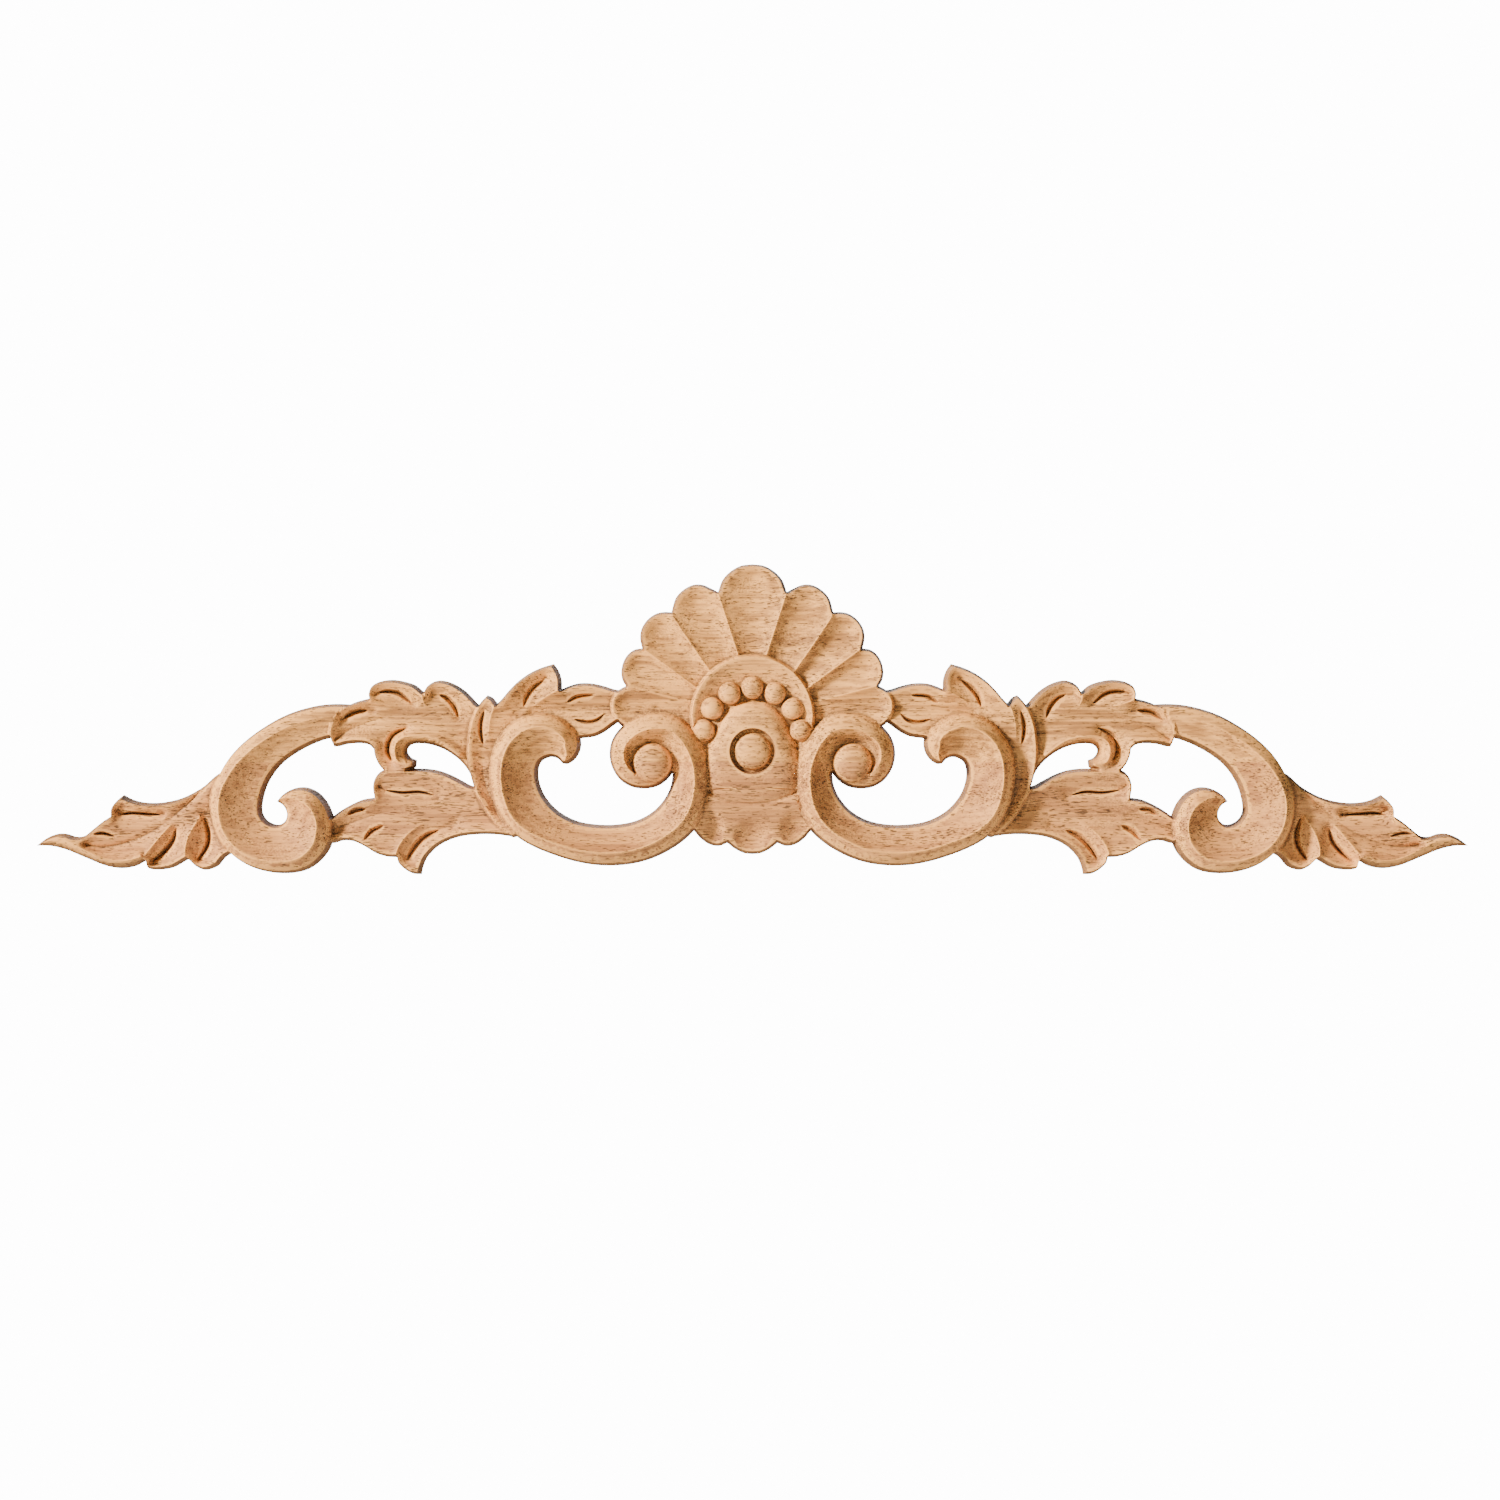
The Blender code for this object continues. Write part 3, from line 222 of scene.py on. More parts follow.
# %% Gouge cuts
GOUGE_DEPTH = 0.0028  # of the almond-shaped cuts in the leaves


class Gouge:
    """An almond-shaped cut of a V-tool, along a smooth line."""

    def __init__(self, points, width=1.5, depth=GOUGE_DEPTH):
        self.curve = smooth(points)
        self.width = width
        self.depth = depth

    def cut(self, points):
        distance, along = nearest(points, self.curve)
        half_width = self.width * np.sqrt(np.clip(4 * along * (1 - along), 1e-6, 1))
        shallower = np.minimum(1, half_width / self.width + 0.1)
        return self.depth * np.clip(1 - distance / half_width, 0, 1) * shallower

    def lines(self):
        along = np.linspace(0, 1, len(self.curve))
        half_width = self.width * np.sqrt(4 * along * (1 - along))
        step = np.gradient(self.curve, axis=0)
        step /= np.hypot(step[:, 0], step[:, 1])[:, None]
        side = np.column_stack([-step[:, 1], step[:, 0]]) * half_width[:, None]
        return [self.curve, self.curve + side, self.curve - side]


print("a gouge cut is", GOUGE_DEPTH, "m deep")

# %% [markdown]
# ## One carved form
#
# A form is a ring of runs with a wall around it, and a surface inside. The wall leans in by little more
# than a millimetre, because the cutter is tapered, and its top edge is eased, because it was sanded.

# %% A form
WALL_LEAN = 0.0014  # how far a side wall leans in, from the back to its top edge
CURVE_ERROR = 0.02  # in units of the plan, how far the mesh may cut a bend short
LINE_STEP = 0.9  # in units of the plan, the longest edge on a line


class Form:
    """One carved form: a ring of runs around it, and a surface inside the ring.

    A run is (height of its top edge, points). The next run starts where it ends, at a corner.
    A pair of heights belongs to the run's two ends. A height of None marks a run with no wall, under
    a later form or on the mirror plane. A form that is raised adds to what is under it, and cuts
    nothing away.
    """

    def __init__(self, runs, surface, lines=(), gouges=(), raised=False, lean=WALL_LEAN):
        corner = runs[-1][1][-1]
        self.raised = raised
        self.lean = lean / PLAN_UNIT
        self.walls, pieces = [], []
        for height, points in runs:
            points = [corner] + list(points)
            corner = points[-1]
            if height is None:
                curve = np.array(points, float)
            else:
                first, last = height if isinstance(height, tuple) else (height, height)
                line = Line(first, points, last)
                curve = line.curve
                self.walls += line.with_mirrored()
            pieces.append(thinned(curve, CURVE_ERROR, LINE_STEP)[:-1])
        self.ring = np.vstack(pieces)
        self.surface, self.carved_lines, self.gouges = surface, list(lines), list(gouges)

    def covers(self, points):
        low, high = self.ring.min(0), self.ring.max(0)
        near = ((points >= low) & (points <= high)).all(1)
        near[near] = inside(points[near], self.ring)
        return near

    def wall_distance(self, points):
        return np.min([nearest(points, wall.curve)[0] for wall in self.walls], axis=0)

    def height(self, points):
        height = self.surface(self, points)
        for gouge in self.gouges:
            height = height - gouge.cut(points)
        return height

    def lines(self):
        """Lines that the mesh follows inside the form."""
        found = [line for gouge in self.gouges for line in gouge.lines()]
        found += self.carved_lines
        for wall in self.walls:
            if wall.curve[:, 0].max() > MIRROR_REACH:
                continue
            for side in (self.lean, -self.lean):
                for run in shifted(wall.curve, side):
                    keep = self.covers(run) & (self.wall_distance(run) > 0.95 * self.lean)
                    found += stretches(run, keep)
        return found


print("side walls lean in by", WALL_LEAN, "m")

# %% Carving one form over the others
forms = []


def carve(name, form):
    """Carves a form over the ones before it."""
    forms.append(form)
    wide, high = np.ptp(form.ring, axis=0)
    print(f"{name}: {wide:.1f} mm wide, {high:.1f} mm high, {len(form.ring)} points around it")


print("forms so far", len(forms))

# %% [markdown]
# ## Rules for the surfaces
#
# Leaves and flutes hang between their high rims and ridges and their low veins. A scroll has a rounded rim
# and a cove. Beads, ball and boss are domes. Each rule is a function that gives a height for each place.

# %% Distances without creases
def pull(points, line):
    """The pull of a line on each point, by the inverse fourth power of the distance summed along it."""
    start, step = line[:-1], np.diff(line, axis=0)
    length = np.hypot(step[:, 0], step[:, 1])
    start, step, length = start[length > 1e-9], step[length > 1e-9], length[length > 1e-9]
    along = step / length[:, None]
    total = np.empty((len(points), len(length)))
    for first in range(0, len(points), 4000):
        rows = slice(first, first + 4000)
        offset = start[None] - points[rows, None, :]
        near = (offset * along).sum(2)
        far = near + length
        away = np.maximum(np.abs(offset[..., 0] * along[:, 1] - offset[..., 1] * along[:, 0]), 0.01)
        spread = far / (far**2 + away**2) - near / (near**2 + away**2)
        total[rows] = (spread + (np.arctan(far / away) - np.arctan(near / away)) / away) / (2 * away**2)
    return total


def soft_distance(total):
    """The distance that a long straight line of this pull would have."""
    return (math.pi / (2 * total)) ** (1 / 3)


def blended(points, lines):
    """The soft distance to several lines, with no crease where two are as near, and their height there."""
    pulls, heights = np.zeros(len(points)), np.zeros(len(points))
    for line in lines:
        each = pull(points, line.curve)
        along = place_along(line.curve)
        middles = line.height_at((along[1:] + along[:-1]) / 2)[: each.shape[1]]
        pulls += each.sum(1)
        heights += each @ middles
    return soft_distance(pulls), heights / pulls


measured = soft_distance(pull(np.array([(0.0, 5.0)]), np.array([(-900.0, 0.0), (900.0, 0.0)])).sum(1))
print("soft distance 5 mm from a long line", measured[0])


# %% Leaves and flutes
def hollow(highs, lows, power=2.4, crease=0.65):
    """A surface that hangs between high lines, the form's own edges among them, and low lines.

    crease is how much of the drop is a straight V down to the low lines. The rest is a hollow.
    """
    highs = [each for line in highs for each in line.with_mirrored()]
    lows = [each for line in lows for each in line.with_mirrored()]

    def surface(form, points):
        high_distance, high = blended(points, form.walls + highs)
        low_distance, low = blended(points, lows)
        share = low_distance / (high_distance + low_distance)
        return low + (high - low) * (crease * share + (1 - crease) * share**power)

    return surface


def leaf(runs, ridges, veins, gouges=(), power=2.4, crease=0.65):
    """A form that hangs between its rims and ridges and its veins."""
    return Form(runs, hollow(ridges, veins, power, crease), curves(ridges + veins), gouges)


print("rule for leaves and flutes ready")

# %% Scrolls
COVE_POWER = 1.7  # 1 is a straight slope, 2 a round hollow


def scroll(outer, inner, rim, crest, edge, floor, eye=None):
    """A band with a rounded bevel along its outer edge, and a cove from its arris to the inner edge.

    rim, crest and floor list (place along the outer edge, value).
    """
    arris = rim_line(outer, inner, rim, 1)
    places = [nearest((run[1:] + run[:-1]) / 2, outer)[1] for run in arris]
    tops = [np.interp(place, *zip(*crest)) for place in places]
    floors = [np.interp(place, *zip(*floor)) for place in places]

    def surface(form, points):
        pulls = [pull(points, run) for run in arris]
        total = sum(each.sum(1) for each in pulls)
        top = sum(each @ height for each, height in zip(pulls, tops)) / total
        low_floor = np.minimum(sum(each @ height for each, height in zip(pulls, floors)) / total, top - 0.002)
        from_arris = soft_distance(total)
        from_outer, along = nearest(points, outer)
        low_edge = np.minimum(edge, top - 0.001)
        up = from_outer / (from_outer + from_arris)
        flank = low_edge + (top - low_edge) * (0.6 * up + 0.4 * np.sqrt(1 - (1 - up) ** 2))
        from_inner = soft_distance(pull(points, inner).sum(1))
        if eye is not None:
            from_inner = np.minimum(from_inner, np.abs(np.hypot(*(points - eye[0]).T) - eye[1]))
        cove = low_floor + (top - low_floor) * (from_inner / (from_arris + from_inner)) ** COVE_POWER
        rim_width = np.interp(along, *zip(*rim))
        blend_width = 0.1 + 0.6 * np.minimum(from_arris, rim_width)
        share = np.clip(1 + (from_outer - rim_width) / blend_width, 0, 1)
        return flank + (cove - flank) * share

    return surface


def rim_line(outer, inner, rim, share):
    """The parallel of a scroll's outer edge at a share of its rim's width, eased where it bends."""
    x, z = np.vstack([outer, inner]).T
    turn = np.sign(np.sum(x * np.roll(z, -1) - z * np.roll(x, -1)))
    step = np.gradient(outer, axis=0)
    length = np.hypot(step[:, 0], step[:, 1])
    width = share * np.interp(place_along(outer), *zip(*rim))
    moved = outer + turn * width[:, None] * np.column_stack([-step[:, 1], step[:, 0]]) / length[:, None]
    clear = nearest(moved, outer)[0] > 0.97 * width
    runs = stretches(moved, clear)
    for run in runs:
        for _ in range(SPAN_STEPS**2 // 8):
            run[1:-1] = (run[:-2] + 2 * run[1:-1] + run[2:]) / 4
    return runs


print("rule for scrolls ready, power of the cove", COVE_POWER)

# %% Round forms
STEP_LEAN = 0.0006  # how far the wall of a small form leans in, where it stands on another
LEVEL = 1e3  # a dome with so large a radius is level


def dome(centre, radius, top, foot):
    """A round boss."""

    def surface(form, points):
        share = np.clip(np.hypot(*(points - centre).T) / radius, 0, 1)
        return foot + (top - foot) * np.sqrt(1 - share**2)

    return surface


def pillow(top, reach):
    """A surface that rises from the form's edges, round, and is level past its reach."""

    def surface(form, points):
        distance, edge = blended(points, form.walls)
        share = np.clip(distance / reach, 0, 1)
        return edge + (top - edge) * (1 - (1 - share) ** 2.6)

    return surface


def disc(centre, radius, surface, foot, raised=False):
    """A round form on the mirror plane or clear of it. foot is the height of its wall."""
    halved = abs(centre[0]) < 1e-6
    first, last = (90, 270) if halved else (0, 360)
    ring = arc(centre, radius, first, last, 24 if halved else 40)
    if halved:
        ring[[0, -1], 0] = 0  # the ends lie on the mirror plane
    runs = [(foot, ring[1:])]
    if halved:
        runs.append((None, ring[:1]))
    lines = [arc(centre, radius * share, first, last) for share in (0.55, 0.85)]
    return Form(runs, surface, lines, raised=raised, lean=STEP_LEAN)


print("small forms lean in by", STEP_LEAN, "m")

# %% [markdown]
# ## The forms, from the tip inwards
#
# Each one is carved over the ones before it. The tail leaf comes first, and the inner scroll, which lies
# over all its neighbours, comes last. Points are in millimetres at this length, heights in metres.

# %% Tail leaf
TAIL_EDGE = 0.0095  # its rim above the back
TAIL_HOLLOW = 0.0038  # its veins
TAIL_ROLL = 0.0118  # crest of the edge that rolls over near the tip
# The rim sinks to 4 or 5 mm towards the tip.
runs = [
    (None, [(-216, -20)]),
    (TAIL_EDGE, [(-223.5, -22.8), (-230, -28.3), (-238, -32.6), (-246, -34.6), (-253, -34.8),
        (-258.5, -33.7), (-263, -31.5)]),
    (TAIL_EDGE, [(-266.2, -34.2), (-268.4, -37.3), (-268.6, -40.6)]),
    ((TAIL_EDGE, 0.005), [(-272, -42.8), (-276, -46), (-279.5, -48.7), (-283, -49), (-286.5, -47.9),
        (-290.5, -47.8), (-295, -49.5), (-299.6, -52.8)]),
    ((0.004, 0.006), [(-293.5, -53), (-287, -54.6), (-279, -57.9), (-271, -61.1), (-264, -62.3),
        (-258, -61.4), (-254, -59.3)]),
    (TAIL_EDGE, [(-252.7, -62.3), (-248, -62.9), (-242, -61.9), (-236, -58.6)]),
    (TAIL_EDGE, [(-232.5, -61.7), (-228.5, -63), (-223.5, -61.3), (-219.7, -57.2), (-213, -54)]),
]
roll = Line(0.0065, [(-298, -52.2), (-292, -50.5), (-286, -50.7), (-281, -52.8), (-275.5, -55.5),
    (-269.5, -58), (-263, -59), (-257.5, -58.2), (-254, -57)], TAIL_ROLL)
ridges = [
    Line(TAIL_EDGE, [(-253.6, -57.5), (-250.5, -53.5), (-246.5, -48.5), (-242.5, -44)], TAIL_HOLLOW + 0.002),
    Line(TAIL_EDGE, [(-236, -57.5), (-236, -53), (-234.3, -47.5), (-230.5, -41)], TAIL_HOLLOW + 0.003),
    roll,
]
veins = [
    Line(TAIL_EDGE - 0.003, [(-222, -22.5), (-230, -30), (-240, -39.2), (-250, -46.5), (-260, -51),
        (-270, -53.2), (-278, -52.5)], TAIL_HOLLOW),
    Line(TAIL_HOLLOW, [(-246, -39.6), (-255, -39.8), (-261, -39.4), (-265, -37.8)]),
    Line(TAIL_HOLLOW, [(-249.8, -58.8), (-245, -54.5), (-242, -50), (-240.8, -46)]),
    Line(TAIL_HOLLOW, [(-230.8, -58.3), (-227.8, -53), (-227.3, -47.5), (-228.7, -41.5)]),
]
gouges = [
    Gouge([(-264, -39.8), (-259, -39.1), (-253, -39.5), (-247, -39.9)], 0.9),
    Gouge([(-274.8, -47.9), (-271, -47.5), (-266, -48.9)], 0.9),
    Gouge([(-249.8, -59), (-245, -54.5), (-242, -50.5), (-240.8, -46)], 1.4),
    Gouge([(-231.2, -58.4), (-227.8, -53), (-227.2, -47.5), (-228.9, -41.2)], 1.4),
]
carve("tail leaf", leaf(runs, ridges, veins, gouges, 2.2, 0.85))

# %% Lower leaf
LEAF_EDGE = 0.0100  # rims of this leaf and of the upper one
LEAF_HOLLOW = 0.0056  # their veins
runs = [
    (None, [(-106, -36), (-112, -28)]),
    (LEAF_EDGE, [(-117, -27.8), (-121, -25.8), (-126, -23.2), (-131, -21.4), (-136, -20.6), (-142, -20.5),
        (-149, -20.6), (-154.5, -21.2), (-157.6, -24), (-158.8, -28), (-158.2, -32.7)]),
    (LEAF_EDGE, [(-163, -33.5), (-168, -35.7), (-172, -38), (-175.5, -40.5), (-179, -43)]),
    (None, [(-179, -50)]),
    (LEAF_EDGE, [(-175.5, -51.8), (-171, -50.7), (-167, -51), (-162.5, -53), (-157.5, -56), (-153, -57.4),
        (-148.8, -57.7)]),
    (LEAF_EDGE, [(-147.9, -60.3), (-145, -63), (-141.7, -64.6), (-138.3, -64.8)]),
    (LEAF_EDGE - 0.001, [(-137.6, -61.5), (-135.8, -57.5), (-132, -53.5), (-127, -50.6), (-121, -48.8),
        (-114, -48.1), (-107, -48.2), (-100, -48.9), (-97, -47)]),
]
ridge = Line(LEAF_EDGE, [(-148.6, -56.8), (-147, -52.5), (-143, -47.3), (-137, -43)], LEAF_HOLLOW + 0.001)
veins = [
    Line(LEAF_HOLLOW + 0.001, [(-108, -38), (-118, -36.3), (-130, -36.2), (-142, -37), (-154, -39),
        (-165, -42.3), (-177, -46.5)], LEAF_HOLLOW),
    Line(LEAF_HOLLOW, [(-131, -32.5), (-137, -30.5), (-146, -30.4), (-153, -29.4), (-156, -27.7)]),
    Line(LEAF_HOLLOW, [(-143.6, -58), (-140.5, -53), (-136.5, -49), (-131, -46.2), (-124, -43.5)]),
]
gouges = [
    Gouge([(-153, -29.6), (-146, -30.6), (-139, -30.3), (-133, -31.6)], 0.8),
    Gouge([(-168.6, -39.7), (-165.5, -37.9), (-161, -37.3)], 1.3),
    Gouge([(-161.6, -50.2), (-158.7, -46.8), (-153.7, -44.2)], 1.4),
    Gouge([(-143.8, -58), (-140.5, -52.8), (-136.5, -48.9), (-130.8, -46.2)], 1.7),
]
carve("lower leaf", leaf(runs, [ridge], veins, gouges))

# %% Outer scroll
OUTER_CREST = 0.0140  # its arris
OUTER_EDGE = 0.0080  # top of its outer wall
OUTER_FLOOR = 0.0078  # bottom of its hollow
OUTER_SCROLL_OUTER = [
    (-160, 5.5), (-168, 6.3), (-175, 6.5), (-182, 5.8), (-190, 3.8), (-197, 1), (-204, -3),
    (-210, -7.2), (-215, -11.6), (-219, -16.2), (-222.6, -22), (-225.2, -28), (-226.4, -34.5),
    (-226, -41), (-224.3, -47), (-221.2, -52.5), (-217.3, -57), (-212, -60.6), (-206, -63),
    (-199, -64.3), (-191.6, -64.2), (-185.3, -62.5), (-180.2, -58.8), (-176.6, -54), (-175, -48.9),
    (-174.6, -44), (-175.5, -39.3), (-177.7, -34.6), (-181.2, -30.7), (-185.5, -28.6), (-189.8, -28.4),
    (-194, -29.8), (-197, -31.9), (-199, -34.3),
]
OUTER_SCROLL_INNER = [
    (-199, -34.3), (-196.4, -36), (-194.9, -39), (-195.3, -42), (-197.6, -43.9), (-200.7, -43.5),
    (-203.6, -41.4), (-205, -38), (-204.6, -33.4), (-203.1, -28.2), (-200.8, -23.7), (-197.6, -19.5),
    (-194, -16.3), (-189, -13), (-183, -10), (-177, -8), (-168, -6.5), (-160, -5.5),
]
outer, inner = smooth(OUTER_SCROLL_OUTER), smooth(OUTER_SCROLL_INNER)
rim = [(0, 5.5), (0.3, 5.5), (0.5, 4.5), (0.65, 5), (0.8, 6.3), (0.93, 6), (1, 0.4)]
crest = [(0, 0.0085), (0.2, 0.0115), (0.4, OUTER_CREST), (0.9, OUTER_CREST), (1, 0.0095)]
runs = [
    (OUTER_EDGE, OUTER_SCROLL_OUTER[1:]),
    (OUTER_FLOOR, OUTER_SCROLL_INNER[1:]),
    (None, [(-160, 5.5)]),
]
lines = [run for share in (0.45, 1) for run in rim_line(outer, inner, rim, share)]
floors = [(0, OUTER_FLOOR), (1, OUTER_FLOOR)]
carve("outer scroll", Form(runs, scroll(outer, inner, rim, crest, OUTER_EDGE, floors), lines))

# %% Upper leaf
runs = [
    (None, [(-108, -10), (-112, 5)]),
    (LEAF_EDGE, [(-114.8, 6.6), (-117, 9), (-120.5, 12.3), (-125, 15), (-129.5, 16.3), (-133, 15.9),
        (-136, 14), (-137.5, 11.6)]),
    (LEAF_EDGE, [(-141, 14.4), (-146, 16), (-151, 16.6), (-156, 15.8), (-159.3, 13.9), (-160.6, 11),
        (-160.4, 8.8)]),
    (LEAF_EDGE + 0.001, [(-165, 7.6), (-169, 5.9), (-173, 2.9), (-175.6, -0.6), (-176.9, -4.6),
        (-176.5, -8), (-175, -11.4)]),
    (LEAF_EDGE, [(-172.5, -11.2), (-169, -10.3), (-164, -10), (-160.5, -10.6), (-158.5, -12.3)]),
    (LEAF_EDGE, [(-158, -15.2), (-156.5, -18.6), (-154, -21.5), (-151, -23.1), (-147, -22.8),
        (-143.5, -21.3), (-140.8, -20), (-140.3, -17)]),
    (0.006, [(-142.6, -16), (-144.1, -14), (-144, -12), (-142, -10.4), (-138, -10.1), (-133, -11),
        (-128, -13.1), (-123, -16.6), (-119.5, -20.5), (-117, -25)]),
    (None, [(-112, -25)]),
]
ridges = [
    Line(LEAF_EDGE, [(-160.2, 8.6), (-155, 6.6), (-149, 5.2)], LEAF_HOLLOW + 0.001),
    Line(LEAF_EDGE, [(-137.4, 11.4), (-137.2, 8), (-135.5, 4.5)], LEAF_HOLLOW + 0.001),
    Line(LEAF_EDGE, [(-142.5, -18.8), (-147, -18), (-148.8, -14), (-148, -9.8), (-144.5, -7.5),
        (-138, -7.2), (-130, -9.2), (-122, -15)], LEAF_EDGE - 0.001),
]
veins = [
    Line(LEAF_HOLLOW, [(-174, -8.5), (-168, -4.4), (-160, -1.2), (-152, 1), (-144, 1.9), (-134, 0.8),
        (-124, -3), (-112, -9)], LEAF_HOLLOW + 0.001),
    Line(LEAF_HOLLOW, [(-171, 0), (-167, 2.4), (-162, 3.8), (-158, 3.4)]),
    Line(LEAF_HOLLOW, [(-157, 10.8), (-153, 11.3), (-148, 10.7), (-144.5, 8.5), (-141.5, 6)]),
    Line(LEAF_HOLLOW, [(-133.5, 10.4), (-130, 9.8), (-126.5, 8), (-124, 4.7), (-122.5, 0.5)]),
    Line(LEAF_HOLLOW, [(-150.5, -17), (-152.2, -12.5), (-150.3, -7), (-144.5, -3.6)]),
]
gouges = [
    Gouge([(-170.4, 0.4), (-166.5, 2.9), (-160.5, 3.7)], 1.4),
    Gouge([(-156, 11.3), (-151.5, 11.6), (-147, 10.5), (-142, 6.6)], 1.2),
    Gouge([(-130.5, 10.3), (-127, 8.5), (-124.2, 5), (-122.6, 0.8)], 1.3),
    Gouge([(-150.6, -17), (-152.2, -12.5), (-150.3, -7), (-144.6, -3.8)], 1.6),
]
carve("upper leaf", leaf(runs, ridges, veins, gouges))

# %% Leaf that wraps the inner scroll
# It runs from its foot up to the shell.
COLLAR_EDGE = 0.0125
COLLAR_HOLLOW = 0.0080
runs = [
    (None, [(-104, -38), (-105, -24), (-102, -10), (-94, -2), (-84, 0), (-76, -4), (-74, -9)]),
    (COLLAR_EDGE - 0.0015, [(-71.5, -8), (-66, -7.2), (-62, -5.4), (-58.5, -2.9), (-53, 1)]),
    (None, [(-53, 12)]),
    (COLLAR_EDGE - 0.0015, [(-57.5, 12.6), (-62, 14), (-67, 15.1), (-72, 15.2), (-76, 14.3),
        (-79.6, 12.8)]),
    (COLLAR_EDGE, [(-79.8, 16.8), (-81, 20.3), (-83, 23.3)]),
    (COLLAR_EDGE, [(-88, 21.8), (-93, 19.5), (-98, 16), (-102, 12), (-104.5, 9), (-106.6, 6.8)]),
    (COLLAR_EDGE - 0.001, [(-108.5, 9.1), (-110.8, 10.2)]),
    (COLLAR_EDGE - 0.001, [(-113.5, 7.4), (-116, 3.5), (-118, -2), (-119, -9), (-119.1, -16), (-118, -23),
        (-115.5, -31), (-111.5, -38.5), (-106.5, -44.5), (-100.5, -49.3), (-97, -48)]),
]
ridges = [
    Line(COLLAR_EDGE - 0.001, [(-107, 6), (-109, 0), (-109.6, -7), (-108.5, -14)], COLLAR_HOLLOW + 0.0005),
    Line(COLLAR_EDGE, [(-80.2, 12.3), (-85.5, 9.5), (-90.5, 6)], COLLAR_HOLLOW + 0.001),
]
veins = [
    Line(COLLAR_HOLLOW, [(-86, 17.2), (-91, 13.5), (-93.8, 9.5), (-96, 4), (-101, -2)],
        COLLAR_HOLLOW + 0.001),
    Line(COLLAR_HOLLOW, [(-92, 2.6), (-84, 3.3), (-76, 4), (-68, 4.8), (-56, 5.5)]),
    Line(COLLAR_HOLLOW + 0.001, [(-111.8, 3.6), (-113.2, -1.5), (-113, -6.5), (-112.4, -13), (-112.2, -20),
        (-110.5, -29), (-105.5, -38.5)], COLLAR_HOLLOW),
]
gouges = [
    Gouge([(-95.2, 5.4), (-93.8, 9.6), (-91.2, 13), (-86.8, 16.4)], 1.4),
    Gouge([(-77.2, 7), (-72.8, 9.4), (-66, 10.1)], 1.1),
    Gouge([(-74.3, 0), (-69, -1.2), (-64.8, -0.4), (-61.6, 2.2)], 1),
    Gouge([(-111.6, 3.4), (-112.9, -1), (-113.1, -5.5), (-112.1, -10.3)], 1.2),
]
carve("collar leaf", leaf(runs, ridges, veins, gouges))

# %% Shell
# Half of it, with flutes that narrow towards the dish.
SHELL_EDGE = 0.0120  # top of the ridges between the flutes
SHELL_HOLLOW = 0.0076
runs = [
    (None, [(-44, -10), (-20, -6), (0, 0), (0, 65)]),
    (SHELL_EDGE, [(-5, 64.3), (-9.5, 61.7), (-12.6, 58.2), (-14.4, 53.4)]),
    (SHELL_EDGE, [(-17.5, 55), (-21, 56.4), (-25, 56.3), (-29, 54.2), (-32.2, 50.6), (-33.9, 44.9)]),
    (SHELL_EDGE, [(-37, 45), (-40.5, 44.2), (-44, 41.7), (-46.4, 38), (-47, 34), (-46.2, 29.8)]),
    (SHELL_EDGE, [(-49.4, 29.2), (-52.3, 27), (-54.2, 23.6), (-54.9, 19.8), (-54.4, 16.5), (-53, 14)]),
    (SHELL_EDGE, [(-56, 12.3), (-58.5, 9.4), (-59.4, 6), (-58.8, 2.4), (-57, -0.6), (-54.3, -3),
        (-50, -5)]),
]
by_dish = SHELL_EDGE - 0.0010  # the ridges' height where they reach the dish
ridges = [
    Line(SHELL_EDGE, [(-14.4, 53), (-10.2, 40), (-6, 27)], by_dish),
    Line(SHELL_EDGE, [(-33.7, 44.4), (-32.6, 42), (-25, 30.6), (-17.6, 20)], by_dish),
    Line(SHELL_EDGE, [(-46.1, 29.8), (-44.6, 28.8), (-38, 24), (-31, 18.8), (-23, 12.8)], by_dish),
    Line(SHELL_EDGE, [(-52.8, 13.9), (-49.5, 13.2), (-42, 11.2), (-26, 7)], by_dish - 0.0015),
]
foot = SHELL_HOLLOW + 0.0022
flutes = [
    Line(SHELL_HOLLOW, [(0, 57), (0, 26)], foot),
    Line(SHELL_HOLLOW, [(-23, 48.5), (-11, 24)], foot),
    Line(SHELL_HOLLOW, [(-38.6, 36.8), (-20, 16)], foot),
    Line(SHELL_HOLLOW, [(-47.2, 21.5), (-24, 10)], foot),
    Line(SHELL_HOLLOW, [(-52, 6), (-26, 2)], foot),
]
carve("shell", leaf(runs, ridges, flutes, (), 2.0, 0))

# %% Spoon-shaped hollows
SPOON_DEPTH = 0.0026


def spooned(top, edge, reach, spoons):
    """A slope from a top height down to an edge height over a reach in Z, with spoon-shaped hollows.

    spoons lists (centre, half its width, half its height).
    """

    def surface(form, points):
        height = np.interp(points[:, 1], reach, (edge, top))
        for (x, z), across, up in spoons:
            out = ((points[:, 0] - x) / across) ** 2 + ((points[:, 1] - z) / up) ** 2
            height = height - SPOON_DEPTH * np.clip(1 - out, 0, 1) ** 1.5
        return height

    return surface


def ellipse(centre, across, up, first=0, last=360):
    return centre + arc((0, 0), 1, first, last, 20) * (across, up)


print("spoon-shaped hollows", SPOON_DEPTH, "m deep")

